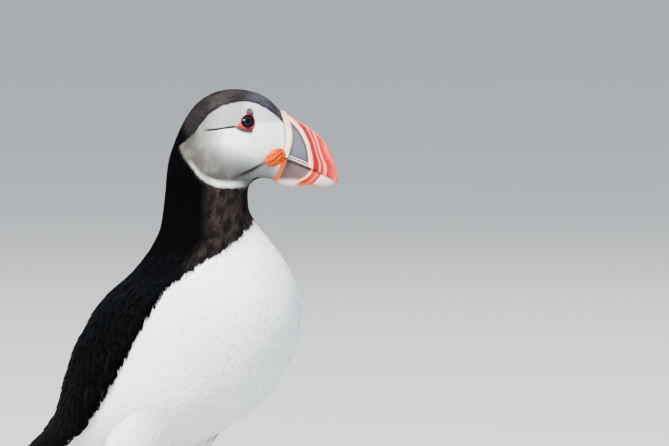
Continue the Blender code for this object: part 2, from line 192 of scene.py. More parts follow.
def line_distance(across: Array, up: Array, line: Sequence[Pair]) -> Array:
    """Distance from points in the side view to an open line.

    Args:
        across: the points' forward places.
        up: the points' heights.
        line: the line's corners as (forward, up).

    Returns:
        The distances, in mm.
    """
    best = np.full(np.shape(across), 1e9)
    for (ax, ay), (bx, by) in zip(line, line[1:]):
        dx, dy = bx - ax, by - ay
        share = np.clip(((across - ax) * dx + (up - ay) * dy) / (dx * dx + dy * dy), 0, 1)
        best = np.minimum(best, np.hypot(across - ax - share * dx, up - ay - share * dy))
    return best


def mix(a: Array, b: Iterable[float], share: Array) -> Array:
    """Colours a with a share of one colour b."""
    return a + (np.array(b) - a) * np.clip(share, 0, 1)[..., None]


def laid_over(a: Array, b: Array, share: Array) -> Array:
    """Colours b laid over colours a where the share is 1."""
    return a + (b - a) * share[..., None]


def to_world(points: Array) -> Array:
    """(left, forward, up) in mm to the frame's metres."""
    points = np.asarray(points, float)
    return np.stack([points[..., 0], CENTRE_FORWARD - points[..., 1], points[..., 2]], -1) * MM


def turned(points: Array, angle: float | Array = HEAD_TURN) -> Array:
    """Points turned to the left about the neck's upright line.

    Args:
        points: (left, forward, up) places.
        angle: the turn in degrees, one for all or one each.

    Returns:
        The turned points.
    """
    angle = np.radians(angle)
    left, ahead = points[..., 0], points[..., 1] - NECK_LINE
    side = left * np.cos(angle) + ahead * np.sin(angle)
    return np.stack([side, ahead * np.cos(angle) - left * np.sin(angle) + NECK_LINE, points[..., 2]], -1)


def as_left(around: Array) -> Array:
    """Degrees round the body, with those of its right side as on its left."""
    return np.where(around > 90, 180 - around, around)


# ---- The body's form


@dataclass(frozen=True)
class WingLine:
    """The folded wing at one place along the body: its edges in degrees round it, and its thickness."""

    place: float
    low: float
    high: float
    thick: float


@dataclass
class BodyForm:
    """The body's outline as cross-sections from the base of the bill to the tail, and the folded wings."""

    # back outline, front outline, half width, height of the widest point
    stations: ClassVar[tuple[tuple[float, ...], ...]] = (
        (32.3, 228.3, 28.5, 193.5, 8.6, 0.38),
        (25.8, 234.8, 25.2, 194.4, 12.8, 0.40),
        (17.7, 238.5, 21.6, 194.6, 16.2, 0.42),
        (8.6, 239.7, 18.6, 193.4, 18.6, 0.44),
        (-1.0, 238.0, 16.6, 191.4, 19.8, 0.46),
        (-10.4, 232.0, 15.9, 189.2, 20.3, 0.47),
        (-17.2, 222.2, 15.7, 187.0, 20.5, 0.48),
        (-22.0, 211.0, 15.8, 184.6, 20.4, 0.49),
        (-24.8, 200.0, 16.0, 182.0, 20.3, 0.50),
        (-26.0, 187.5, 16.6, 178.5, 20.7, 0.50),
        (-27.4, 176.0, 19.8, 173.0, 23.0, 0.50),
        (-29.6, 164.8, 26.5, 164.5, 27.5, 0.50),
        (-36.4, 155.4, 36.0, 152.5, 34.0, 0.50),
        (-46.6, 146.8, 43.0, 139.0, 39.6, 0.50),
        (-57.6, 137.0, 45.0, 124.5, 42.6, 0.50),
        (-67.2, 126.0, 41.8, 110.0, 43.6, 0.50),
        (-74.2, 113.6, 34.0, 95.5, 43.2, 0.50),
        (-79.2, 100.8, 22.0, 81.8, 41.4, 0.50),
        (-83.4, 88.4, 5.0, 69.8, 38.0, 0.50),
        (-88.0, 77.4, -15.0, 60.0, 32.6, 0.50),
        (-93.8, 68.2, -40.0, 52.5, 25.4, 0.50),
        (-100.0, 62.2, -67.0, 48.5, 18.4, 0.50),
        (-106.0, 57.6, -94.6, 46.5, 13.0, 0.45),
        (-116.7, 49.6, -112.4, 44.3, 11.5, 0.00),
        (-129.2, 36.6, -126.2, 32.7, 10.0, 0.00),
        (-140.5, 25.2, -138.4, 22.4, 8.0, 0.00),
    )
    wing: ClassVar[tuple[WingLine, ...]] = (
        WingLine(12.75, 2.0, 9.0, 1.0),
        WingLine(13.3, 1.0, 26.0, 3.0),
        WingLine(14.5, 3.5, 46.0, 4.4),
        WingLine(16.5, 6.0, 60.0, 4.8),
        WingLine(18.5, 8.0, 66.0, 4.4),
        WingLine(20.5, 10.0, 66.0, 3.4),
        WingLine(22.0, 15.0, 66.0, 2.8),
        WingLine(23.2, 24.0, 64.0, 2.2),
        WingLine(24.2, 34.0, 60.0, 1.6),
        WingLine(24.7, 44.0, 56.0, 0.9),
    )
    turn_starts: float = 12.6
    turn_ends: float = 8.0
    front_bow: float = 3.85
    bow_fades: float = 2.0

    def __post_init__(self) -> None:
        """Makes the spline that runs through the stations."""
        self.curve = Curve(self.stations)

    def point(self, place: Array, around: Array, twist: bool = True) -> Array:
        """The body's surface.

        Args:
            place: stations along the body.
            around: degrees round it: 0 left, 90 back, 180 right, -90 front.
            twist: whether the head is turned.

        Returns:
            The points, in mm.
        """
        place, around = np.broadcast_arrays(np.asarray(place, float), np.radians(around))
        row = self.curve.at(place)
        back, front, half, widest = row[..., 0:2], row[..., 2:4], row[..., 4], row[..., 5]
        across = back - front
        height = np.maximum(np.linalg.norm(across, axis=-1), 1e-9)
        c, s = np.cos(around), np.sin(around)
        rise = np.where(s > 0, (1 - widest) * height, widest * height) * s
        share = widest + rise / height
        flat = front + across * share[..., None]
        bow = self.front_bow * np.clip(1 - place / self.bow_fades, 0, 1) ** 2 * 4 * share * (1 - share)
        points = np.stack([half * c, flat[..., 0] + bow, flat[..., 1]], -1)
        if not twist:
            return points
        share = (self.turn_starts - place) / (self.turn_starts - self.turn_ends)
        return turned(points, HEAD_TURN * eased(share))

    def wing_edges(self, place: Array) -> tuple[Array, Array, Array]:
        """The folded wing's low edge, high edge and thickness at places along the body.

        Args:
            place: stations along the body.

        Returns:
            Low edges and high edges in degrees, and thicknesses in mm.
        """
        rows = np.array([(w.place, w.low, w.high, w.thick) for w in self.wing])
        low, high, thick = (np.interp(place, rows[:, 0], rows[:, k]) for k in (1, 2, 3))
        return low, high, thick


@dataclass
class Thigh:
    """A feathered thigh as a taper that stands out of the belly along a slanting line."""

    side: Side
    spread: float = 21.0
    top: Pair = (-31.0, 66.0)
    end: Pair = (-49.7, 37.0)
    widest: float = 15.2
    softness: float = 1.6
    # distance down the line, radius
    taper: ClassVar[tuple[Pair, ...]] = (
        (-6.0, 15.2), (0.0, 14.5), (11.4, 13.6), (21.4, 10.4), (28.6, 7.0), (32.4, 5.2), (34.3, 4.2),
        (34.6, 0.0),
    )

    def __post_init__(self) -> None:
        """Works out the line's start and direction."""
        self.start = np.array([self.side.value * self.spread, *self.top])
        self.line = unit(np.array([0.0, self.end[0] - self.top[0], self.end[1] - self.top[1]]))

    def down(self, radius: Array) -> Array:
        """How far down its line the thigh reaches at a distance from that line."""
        return read_off([(wide, down) for down, wide in reversed(self.taper)], radius)

    def radius(self, down: Array) -> Array:
        """The thigh's radius at a distance down its line."""
        return read_off(self.taper, down)

    def measure(self, points: Array) -> tuple[Array, Array]:
        """Distance down the thigh's line and away from it, for points in mm.

        Args:
            points: the points.

        Returns:
            Both distances.
        """
        offset = points - self.start
        down = offset @ self.line
        return down, np.linalg.norm(offset - down[..., None] * self.line, axis=-1)

    def pull(self, points: Array) -> tuple[Array, Array]:
        """Draws the belly's skin out over the thigh.

        Args:
            points: the skin's points, in mm.

        Returns:
            The points after the pull, and how far each was pulled.
        """
        down, radius = self.measure(points)
        reach = np.where(radius < self.widest, self.down(np.minimum(radius, self.widest)) - down, -9.0)
        pulled = self.softness * np.log1p(np.exp(np.clip(reach / self.softness, -20, 20)))
        pulled = pulled * eased((down + 22) / 8) * eased((19 - radius) / 5)
        return points + pulled[..., None] * self.line, pulled


@dataclass
class Looked:
    """What the skin is like at some places on it."""

    point: Array
    normal: Array
    along: Array
    speed: Array
    plan: Array


class SkinSurface:
    """The skin as a fine grid over the body: sunk by the coat's depth, swollen by wings and thighs."""

    furrow: ClassVar[tuple[Pair, ...]] = (
        (9.9, 221.3), (6.3, 220.95), (2.7, 220.45), (-0.8, 219.95), (-5.8, 219.5),
    )
    jaw_crease: ClassVar[tuple[Pair, ...]] = (
        (8.0, 194.9), (12.7, 196.6), (15.7, 197.8), (18.7, 199.2), (21.5, 200.8), (25.0, 202.6),
    )
    # station, depth
    coat_depth: ClassVar[tuple[Pair, ...]] = (
        (0, 0.4), (6, 0.45), (9, 0.6), (12, 0.7), (21, 0.8), (23, 0.6), (25, 0.5),
    )
    last_station: ClassVar[float] = 25.0
    grid_rows: ClassVar[int] = 626
    turn_step: ClassVar[float] = 0.75

    def __init__(self, form: BodyForm) -> None:
        """Works the grid out.

        Args:
            form: the body's outline.
        """
        self.form = form
        self.places = np.linspace(0, self.last_station, self.grid_rows)
        self.turns = np.arange(-90, 270, self.turn_step)
        place, around = np.meshgrid(self.places, self.turns, indexing="ij")
        self.plan = form.point(place, around, twist=False)
        base = form.point(place, around)
        lift = self.wing_swell(place, around) - self.depth(place) + self.nape_swell(place, around)
        lift = lift - self.face_dips(place)
        self.grid = base + self._normals(base) * lift[..., None]
        self.thighs = [Thigh(side) for side in Side]
        self.pulled = np.zeros(place.shape)
        for thigh in self.thighs:
            self.grid, pulled = thigh.pull(self.grid)
            self.pulled = self.pulled + pulled
        self.normals = self._normals(self.grid)
        along = np.gradient(self.grid, self.places[1], axis=0)
        self.speed = np.linalg.norm(along, axis=-1)
        self.along = unit(along)
        self.area = np.linalg.norm(np.cross(self._around(self.grid), along), axis=-1) * self.places[1]

    @staticmethod
    def _around(grid: Array) -> Array:
        """The grid's step round the body."""
        return (np.roll(grid, -1, 1) - np.roll(grid, 1, 1)) / 2

    def _normals(self, grid: Array) -> Array:
        """Outward directions of a grid over the body."""
        return unit(np.cross(self._around(grid), np.gradient(grid, axis=0)))

    def depth(self, place: Array) -> Array:
        """The coat's depth: thin on the face, deeper down the body."""
        return read_off(self.coat_depth, place)

    def nape_swell(self, place: Array, around: Array) -> Array:
        """How the plumage fills the bend between nape and back."""
        back = eased((np.sin(np.radians(around)) - 0.15) / 0.5)
        return back * (0.9 * bell(place - 11.2, 0.6) - 1.3 * bell(place - 13.0, 0.75))

    def face_dips(self, place: Array) -> Array:
        """How deep the furrow behind the eye and the crease over the jaw are.

        Args:
            place: stations along the body.

        Returns:
            The depth, in mm.
        """
        ahead, up, on_head = self.plan[..., 1], self.plan[..., 2], place < 6
        furrow = bell(line_distance(ahead, up, self.furrow), 0.5) * eased((ahead + 7.5) / 4.5)
        crease = bell(line_distance(ahead, up, self.jaw_crease), 0.9) * eased((ahead - 7.5) / 6)
        return (0.85 * furrow + 0.8 * crease) * on_head

    def wing_swell(self, place: Array, around: Array) -> Array:
        """How far the folded wing stands out of the body.

        Args:
            place: stations along the body.
            around: degrees round it.

        Returns:
            The swell, in mm.
        """
        around = as_left(around)
        low, high, thick = self.form.wing_edges(place)
        share = (around - low) / (high - low)
        wide = (high - low) * 0.7
        edge = eased(np.minimum(share, 1 - share) * wide / 2.2 + 0.3)
        full = 0.5 + (thick - 0.5) * np.sqrt(np.maximum(0, 1 - (2 * np.clip(share, 0, 1) - 1) ** 4))
        ends = eased((place - 12.75) / 0.5) * eased((23.0 - place) / 2.5)
        return (0.75 + full * (1 - 0.6 * np.clip(share, 0, 1))) * edge * ends

    def look(self, place: Array, around: Array) -> Looked:
        """The skin at any places.

        Args:
            place: stations along the body.
            around: degrees round it.

        Returns:
            What the skin is like there.
        """
        s = np.clip(np.asarray(place, float) / self.places[1], 0, len(self.places) - 1.001)
        a = (np.asarray(around, float) + 90) / self.turn_step
        i, j = s.astype(int), np.floor(a).astype(int)
        u, v = (s - i)[..., None], (a - j)[..., None]
        n = len(self.turns)
        found = []
        for grid in (self.grid, self.normals, self.along, self.speed[..., None], self.plan):
            top = grid[i, j % n] * (1 - v) + grid[i, (j + 1) % n] * v
            low = grid[i + 1, j % n] * (1 - v) + grid[i + 1, (j + 1) % n] * v
            found.append(top * (1 - u) + low * u)
        return Looked(found[0], unit(found[1]), unit(found[2]), found[3][..., 0], found[4])

    def scatter(self, wanted: Array, count: int, rng: np.random.Generator) -> tuple[Array, Array]:
        """Even places over part of the skin.

        Args:
            wanted: how much of the grid's each point counts, from 0 to 1.
            count: how many places.
            rng: the seeded source of jitter.

        Returns:
            Stations and degrees of the places.
        """
        weight = (self.area * wanted).ravel()
        total = np.cumsum(weight)
        marks = (np.arange(count) + rng.random(count)) / count * total[-1]
        cell = np.searchsorted(total, marks)
        i, j = np.unravel_index(np.minimum(cell, total.size - 1), self.area.shape)
        place = self.places[i] + (rng.random(count) - 0.5) * self.places[1]
        around = self.turns[j] + (rng.random(count) - 0.5) * self.turn_step
        return np.clip(place, 0, self.last_station), around

    def bare(self) -> BVHTree:
        """The unturned head as a searchable surface, as deep as the skin.

        Returns:
            The surface.
        """
        rows, columns = slice(0, 240, 2), slice(0, None, 2)
        place, around = np.meshgrid(self.places[rows], self.turns[columns], indexing="ij")
        base = self.form.point(place, around, twist=False)
        grid = base - self._normals(base) * self.depth(place)[..., None]
        m, n = grid.shape[:2]
        points = [Vector(p) for p in grid.reshape(-1, 3)]
        faces = [
            (i * n + j, i * n + (j + 1) % n, (i + 1) * n + (j + 1) % n, (i + 1) * n + j)
            for i in range(m - 1)
            for j in range(n)
        ]
        return BVHTree.FromPolygons(points, faces)


# ---- Markings


class Spots:
    """Places on the plumage, with the noises that roughen its markings."""

    def __init__(self, place: Array, around: Array, plan: Array) -> None:
        """Works the noises out.

        Args:
            place: stations along the body.
            around: degrees round it.
            plan: the unturned places, in mm.
        """
        self.place, self.around, self.plan = place, around, plan
        self.left, self.ahead, self.up = plan[..., 0], plan[..., 1], plan[..., 2]
        self.fine = lattice_noise(plan, 0.9, 3)
        self.broad = lattice_noise(plan, 4.0, 5)

    def plain(self, colour: Colour) -> Array:
        """One colour at every place."""
        return np.broadcast_to(np.array(colour), (*np.shape(self.place), 3))


@dataclass(frozen=True)
class Markings:
    """Where each colour of the plumage lies, and the colour itself, for skin and feathers alike."""

    cap_edge: tuple[Pair, ...] = (
        (-18.9, 211.0), (-16.3, 213.0), (-13.8, 215.3), (-11.0, 217.7), (-7.9, 222.4), (-3.0, 227.8),
        (3.0, 231.5), (10.3, 233.4), (16.4, 233.6), (21.3, 232.1), (26.1, 229.6), (29.7, 226.7),
        (32.1, 224.2), (34.5, 221.8),
    )
    cheek_edge: tuple[Pair, ...] = (
        (-18.9, 211.0), (-17.2, 207.6), (-16.2, 205.6), (-13.8, 203.0), (-11.2, 200.0), (-9.6, 197.4),
        (-7.4, 195.3), (-4.0, 193.2), (0.0, 191.6), (4.0, 190.9), (10.0, 190.7), (15.8, 190.7),
        (17.4, 193.0), (19.2, 194.7), (21.0, 195.2), (23.3, 195.1), (24.5, 194.2), (30.0, 188.0),
    )
    cap: Colour = (0.0100, 0.0090, 0.0094)
    cap_light: Colour = (0.025, 0.0215, 0.0215)
    # painted reflection: the sky's blue on the brow
    brow_sky_reflection: Colour = (0.046, 0.046, 0.058)
    face: Colour = (0.88, 0.89, 0.88)
    face_top: Colour = (0.27, 0.27, 0.27)
    # the cheeks' own grey; along the jaw it also stands for painted shade, and by the rosette for a painted
    # shadow
    cheek_grey_and_shade: Colour = (0.036, 0.033, 0.027)
    rim: Colour = (0.74, 0.74, 0.72)
    furrow_red: Colour = (0.012, 0.004, 0.005)
    # painted shade in the jaw crease, the mouth corner and the eye socket
    crease_shade: Colour = (0.008, 0.007, 0.006)
    mouth_corner_shade: Colour = (0.012, 0.006, 0.007)
    socket_shade: Colour = (0.004, 0.001, 0.001)
    black: Colour = (0.0008, 0.0008, 0.0010)
    brown: Colour = (0.024, 0.0175, 0.0165)
    back: Colour = (0.0009, 0.0011, 0.0015)
    white: Colour = (0.84, 0.86, 0.86)
    shade: Colour = (0.60, 0.68, 0.72)
    collar_front: float = 173.0
    collar_fall: float = 33.2
    collar_turn: float = 92.0
    collar_curve: float = 1.57
    head_ends: float = 9.2
    face_tip: float = -18.9
    eye_middle: Pair = (15.8, 223.6)
    mouth_corner: Pair = (35.6, 205.4)

    def face_reach(self, plan: Array) -> Array:
        """Distance into the pale face from its edge, in mm; negative outside it.

        Args:
            plan: the unturned places, in mm.

        Returns:
            The distances.
        """
        ahead, up = plan[..., 1], plan[..., 2]
        top = read_off(self.cap_edge, ahead) - up
        low = up - read_off(self.cheek_edge, ahead)
        return np.minimum(top, low) * 0.8 - np.maximum(0, self.face_tip - ahead)

    def cap_reach(self, plan: Array) -> Array:
        """Distance into the dark cap from its lower edge, in mm."""
        return plan[..., 2] - read_off(self.cap_edge, plan[..., 1])

    def dark_reach(self, form: BodyForm, place: Array, around: Array, plan: Array) -> Array:
        """Distance into the black upper parts from their edge on breast and flank, in mm.

        Args:
            form: the body's outline.
            place: stations along the body.
            around: degrees round it.
            plan: the unturned places, in mm.

        Returns:
            The distances, negative outside.
        """
        around = as_left(around)
        azimuth = np.degrees(np.arctan2(np.abs(plan[..., 0]), plan[..., 1] + 2.0))
        lowered = np.clip(azimuth / self.collar_turn, 0, 1) ** self.collar_curve
        collar = self.collar_front - self.collar_fall * lowered
        low, _, _ = form.wing_edges(place)
        low = np.interp(place, [12.75, 20.5, 22.0, 25.0], [0.0, 0.0, -4.0, -14.0]) + low
        half = form.curve.at(place)[..., 4]
        flank = np.where(place > 12.8, (around - low) * np.radians(1) * half, -99.0)
        return np.maximum(plan[..., 2] - collar, flank)

    def colour(self, surface: SkinSurface, place: Array, around: Array, plan: Array) -> Array:
        """The plumage's colour at places on the skin.

        Args:
            surface: the skin.
            place: stations along the body.
            around: degrees round it.
            plan: the unturned places, in mm.

        Returns:
            Linear red, green and blue.
        """
        spots = Spots(place, around, plan)
        on_head = eased((self.head_ends - place) / 0.8)
        tint = laid_over(self._white(spots), self._dark(spots), self._dark_share(surface.form, spots))
        crown = eased((self.cap_reach(plan) + (spots.fine - 0.5) * 0.6) / 0.6 + 0.5)
        tint = laid_over(tint, self._cap(spots), crown * on_head * eased((spots.up - 207) / 9))
        pale = eased((self.face_reach(plan) + (spots.fine - 0.5) * 0.5) / 0.5 + 0.5)
        return laid_over(tint, self._face_lines(self._face(spots), spots), pale * on_head)

    def _white(self, at: Spots) -> Array:
        """The white of breast and belly, in soft cool waves."""
        wide = lattice_noise(at.plan * (1, 1, 0.6), 9.0, 8)
        return mix(at.plain(self.white), self.shade, eased((wide - 0.45) * 2.2) * 0.22 + 0.16 * at.fine)

    def _dark_share(self, form: BodyForm, at: Spots) -> Array:
        """Where the dark upper parts lie, with an edge less ragged on the flank than on the neck."""
        ragged = (at.fine - 0.5) * 1.0 + (at.broad - 0.5) * (1.9 - 1.3 * eased((at.place - 12.2) / 1.0))
        return eased((self.dark_reach(form, at.place, at.around, at.plan) + ragged) / 0.7 + 0.5)

    def _dark(self, at: Spots) -> Array:
        """Black neck and back, with the brown collar mottled over the throat.

        Args:
            at: the places.

        Returns:
            Their colours.
        """
        neck = mix(at.plain(self.black), self.back, eased((at.place - 11.0) / 2.5))
        twist = eased((12.6 - at.place) / 4.6)
        facing = at.ahead * (0.85 + 0.15 * twist) - 0.53 * (1 - twist) * np.abs(at.left)
        toward_front = eased((facing + 8.5 + 9 * eased((at.place - 10.6) / 1.5)) / 11)
        toward_front = toward_front * (1 - 0.28 * eased((at.place - 9.5) / 1.5))
        streak = lattice_noise(at.plan * (1, 1, 0.35), 1.6, 12)
        mottle = 0.2 + 0.8 * eased((at.broad * 0.4 + at.fine * 0.25 + streak * 0.35 - 0.36) * 4.2)
        collar = eased((13.6 - at.place) / 2.0)
        return mix(neck, self.brown, toward_front * mottle * collar * 0.85)

    def _cap(self, at: Spots) -> Array:
        """The cap: brownish grey on the crown, a painted blue sky reflection on the brow, black at its edge
        and on the nape.

        Args:
            at: the places.

        Returns:
            Their colours.
        """
        light = 1.5 * (at.broad - 0.5) + 1.3 * (at.fine - 0.5) + 0.55 * eased((at.ahead + 6) / 12)
        light = light - 0.55 * eased((-4 - at.ahead) / 10) + 0.15
        cap = mix(at.plain(self.cap), self.cap_light, light)
        # painted reflection of the sky, bluish on the brow
        cap = mix(cap, self.brow_sky_reflection, eased((at.ahead - 12) / 9) * (0.55 + 0.9 * (at.broad - 0.4)))
        cap = mix(cap, self.black, eased((1.6 - self.cap_reach(at.plan)) / 1.2) * 0.45)
        return mix(cap, self.black, eased((-10 - at.ahead - 0.5 * (at.up - 214)) / 6) * 0.97)

    def _face(self, at: Spots) -> Array:
        """The pale face: grey under the cap and behind the cheek, grey and painted shade along the jaw, a
        painted shadow by the rosette, a white rim.

        Args:
            at: the places.

        Returns:
            Their colours.
        """
        top = 1.3 * eased((at.up - 219.6 - 2.5 * eased((at.ahead - 15) / 5)) / 3)
        top = top * (1 - 0.5 * eased((at.ahead - 11) / 6))
        rear = 0.185 * np.maximum(0, 5.5 - at.ahead)
        rear = rear + 1.5 * eased((-8 - at.ahead) / 6) * eased((at.up - 206) / 4)
        # towards the jaw the face greys, partly its own grey and partly painted shade
        low = 0.205 * np.maximum(0, 213 - 0.45 * np.maximum(0, at.ahead - 5) - at.up)
        # painted shadow of the rosette on the face beside it
        gape = 1.3 * bell(np.hypot(at.ahead - 26.5, at.up - 202.5), 3.2)
        face = at.plain(self.face)
        face = mix(face, self.cheek_grey_and_shade, 1 - np.exp(-((top**3 + rear**3) ** (1 / 3)) - low - gape))
        bright = 0.35 + 0.65 * eased((at.ahead + 4) / 4) - 0.95 * eased((at.ahead - 9) / 7)
        edge = eased((3.0 - self.face_reach(at.plan)) / 1.6)
        face = mix(face, self.rim, edge * eased((206 - at.up) / 6) * bright)
        return mix(face, self.face_top, 0.35 * (at.broad - 0.45) + 0.2 * (at.fine - 0.5))

    def _face_lines(self, face: Array, at: Spots) -> Array:
        """The face with its lines: the furrow behind the eye, and painted shade in the jaw crease, the
        mouth corner and the eye socket.

        Args:
            face: the face's colours.
            at: the places.

        Returns:
            The colours with the lines.
        """
        line = line_distance(at.ahead, at.up, SkinSurface.furrow)
        face = mix(face, self.furrow_red, bell(line, 0.55) * (0.12 + 0.86 * eased((at.ahead + 7.5) / 4.5)))
        crease = line_distance(at.ahead, at.up, SkinSurface.jaw_crease)
        deep = 0.2 * eased((at.ahead - 10) / 4) + 0.79 * np.exp(-(((at.ahead - 18.0) / 6.2) ** 4))
        # painted shade in the jaw crease
        face = mix(face, self.crease_shade, bell(crease, 1.05) * deep)
        corner = np.hypot((at.ahead - self.mouth_corner[0]) * 0.7, at.up - self.mouth_corner[1])
        # painted shade in the mouth corner
        face = mix(face, self.mouth_corner_shade, eased((1.5 - corner) / 0.4))
        # painted shade in the eye socket, seen between lid and ball
        socket = np.hypot(at.ahead - self.eye_middle[0], at.up - self.eye_middle[1]) + 9 * (at.place > 7)
        return mix(face, self.socket_shade, eased((3.6 - socket) / 0.3))


# ---- Finishes


class Shader:
    """Builds one procedural material, node by node."""

    def __init__(self, name: str, roughness: float, **sockets: float) -> None:
        """Starts the material.

        Args:
            name: the material's name.
            roughness: how matt it is.
            sockets: further values for the shader's own sockets, with _ for a space.
        """
        self.material = bpy.data.materials.new(name)
        self.material.use_nodes = True
        self.tree = self.material.node_tree
        self.shader = self.tree.nodes["Principled BSDF"]
        self.shader.inputs["Roughness"].default_value = roughness
        for key, value in sockets.items():
            self.shader.inputs[key.replace("_", " ")].default_value = value

    def node(self, kind: str, **values: object) -> bpy.types.Node:
        """Adds a node.

        Args:
            kind: the node's type without the ShaderNode prefix.
            values: settings by name; a name that starts with in_ is the input of that number or name.

        Returns:
            The node.
        """
        made = self.tree.nodes.new("ShaderNode" + kind)
        for key, value in values.items():
            if not key.startswith("in_"):
                setattr(made, key, value)
        for key, value in values.items():
            if key.startswith("in_"):
                socket = made.inputs[int(key[3:]) if key[3:].isdigit() else key[3:].replace("_", " ")]
                if isinstance(value, Socket):
                    self.tree.links.new(value, socket)
                else:
                    socket.default_value = value
        return made

    def attribute(self, name: str, output: str = "Fac") -> Socket:
        """A mesh attribute's value."""
        return self.node("Attribute", attribute_name=name).outputs[output]

    def noise(self, scale: float, detail: float = 4.0, stretch: tuple[float, ...] = (1, 1, 1)) -> Socket:
        """Noise in object space, scale in grains per metre.

        Args:
            scale: its scale.
            detail: how fine its detail goes.
            stretch: how much denser it is along each axis.

        Returns:
            The noise.
        """
        spread = self.node("Mapping", in_Scale=stretch, in_Vector=self.node("TexCoord").outputs["Object"])
        made = self.node("TexNoise", in_Scale=scale, in_Detail=detail, in_Vector=spread.outputs["Vector"])
        return made.outputs["Fac"]

    def maths(self, operation: str, a: object, b: object = 0.0) -> Socket:
        """One sum on two values or sockets."""
        return self.node("Math", operation=operation, in_0=a, in_1=b).outputs[0]

    def plus(self, a: Socket, b: Socket, share: float) -> Socket:
        """A value and a share of another."""
        return self.maths("ADD", a, self.maths("MULTIPLY", b, share))

    def roughened(self, value: Socket, noise: Socket, amount: float) -> Socket:
        """A value that a noise moves up or down."""
        return self.plus(value, self.maths("SUBTRACT", noise, 0.5), amount)

    def rescaled(self, value: Socket, low: float, high: float, first: float = 0, last: float = 1) -> Socket:
        """A value from low to high as one from first to last."""
        return self.node("MapRange", in_0=value, in_1=low, in_2=high, in_3=first, in_4=last).outputs[0]

    def grey(self, value: Socket) -> Socket:
        """The grey of a value."""
        return self.node("CombineColor", in_0=value, in_1=value, in_2=value).outputs[0]

    def ramp(self, value: Socket, stops: Sequence[tuple[float, Sequence[float]]]) -> Socket:
        """Colours along a value.

        Args:
            value: from 0 to 1.
            stops: places and their colours, in order.

        Returns:
            The colour.
        """
        made = self.node("ValToRGB", in_0=value)
        elements = made.color_ramp.elements
        while len(elements) < len(stops):
            elements.new(0.5)
        for element, (place, colour) in zip(elements, stops):
            element.position = place
            element.color = (*colour, 1)
        return made.outputs["Color"]

    def mix(self, share: object, a: object, b: object, blend: str = "MIX") -> Socket:
        """Colour a with a share of colour b.

        Args:
            share: how much of b.
            a: a colour or socket.
            b: another.
            blend: how b is laid on.

        Returns:
            The colour.
        """
        made = self.node("MixRGB", blend_type=blend, in_0=share)
        for index, value in ((1, a), (2, b)):
            if isinstance(value, Socket):
                self.tree.links.new(value, made.inputs[index])
            else:
                made.inputs[index].default_value = (*value, 1)
        return made.outputs[0]

    def bump(self, height: Socket, depth: float, strength: float = 1.0) -> None:
        """Raises the surface by a height, depth in metres."""
        made = self.node("Bump", in_Height=height, in_Distance=depth, in_Strength=strength)
        self.tree.links.new(made.outputs["Normal"], self.shader.inputs["Normal"])

    def finish(self, colour: Socket, roughness: Socket | None = None) -> Material:
        """Joins colour and roughness to the shader and returns the material.

        Args:
            colour: the base colour.
            roughness: how matt it is, if that varies.

        Returns:
            The material.
        """
        self.tree.links.new(colour, self.shader.inputs["Base Color"])
        if roughness:
            self.tree.links.new(roughness, self.shader.inputs["Roughness"])
        return self.material


@dataclass(frozen=True)
class PlumageFinish:
    """Feathers: the vane's own tint, with fine barbs across it and a soft gloss; lighter edges and shaft,
    where asked, are partly paler edges and partly painted sheen.
    """

    name: str
    roughness: float
    sheen: float = 0.0
    gloss: float = 0.2
    barbs: float = 0.00004
    contrast: float = 0.3
    pale_edge_and_sheen: float = 1.0

    def make(self) -> Material:
        """Makes the material.

        Returns:
            The material.
        """
        sheen = {"Sheen_Weight": self.sheen, "Sheen_Roughness": 0.5}
        s = Shader(self.name, self.roughness, Specular_IOR_Level=self.gloss, **sheen)
        tint = s.attribute("tint", "Color")
        vane = s.node("SeparateXYZ", in_0=s.attribute("vane", "Vector"))
        across, along, own = vane.outputs[0], vane.outputs[1], vane.outputs[2]
        slant = s.maths("MULTIPLY", s.maths("ABSOLUTE", across), 5.0)
        slant = s.plus(slant, along, 14.0)
        wave = s.maths("SINE", s.maths("MULTIPLY", s.maths("ADD", slant, own), 6.5))
        grain = s.noise(900.0, 3.0)
        streak = s.maths("ADD", s.maths("MULTIPLY", wave, 0.35), grain)
        grey = s.grey(s.rescaled(streak, 0.1, 1.1, 1 - self.contrast, 1 + self.contrast * 0.6))
        s.bump(streak, self.barbs)
        colour = s.mix(1.0, tint, grey, "MULTIPLY")
        # lighter vane edges and shaft: partly paler edges, partly painted sheen
        if self.pale_edge_and_sheen > 1:
            side = s.rescaled(s.maths("ABSOLUTE", across), 0.55, 1.0, 1.0, self.pale_edge_and_sheen)
            shaft = s.rescaled(s.maths("ABSOLUTE", across), 0.0, 0.09, 0.6 * self.pale_edge_and_sheen, 1.0)
            colour = s.mix(1.0, colour, s.grey(s.maths("MAXIMUM", side, shaft)), "MULTIPLY")
        return s.finish(colour)


@dataclass(frozen=True)
class BareSkinFinish:
    """Bare skin or horn of one colour, with grain, blotches and small wrinkles."""

    name: str
    colour: Colour
    dark: Colour
    light: Colour
    roughness: float
    grain: float = 1500.0
    depth: float = 0.00012
    coat: float = 0.0
    gloss: float = 0.2

    def make(self) -> Material:
        """Makes the material.

        Returns:
            The material.
        """
        coat = {"Coat_Weight": self.coat, "Coat_Roughness": 0.2}
        s = Shader(self.name, self.roughness, Specular_IOR_Level=self.gloss, **coat)
        fine, broad = s.noise(self.grain, 5.0), s.noise(self.grain / 6, 2.0)
        places = s.node("TexCoord").outputs["Object"]
        cells = s.node("TexVoronoi", in_Scale=self.grain * 0.8, in_Vector=places)
        height = s.plus(fine, cells.outputs["Distance"], 0.5)
        colour = s.ramp(
            s.maths("ADD", s.maths("MULTIPLY", broad, 0.6), s.maths("MULTIPLY", fine, 0.4)),
            [(0.36, self.dark), (0.5, self.colour), (0.66, self.light)],
        )
        # the dark colour is mixed in where the mesh says; on the eyelids and in the rosette's folds that is
        # painted shade
        shaded = s.mix(s.attribute("worn"), colour, self.dark)
        s.bump(height, self.depth)
        return s.finish(shaded)


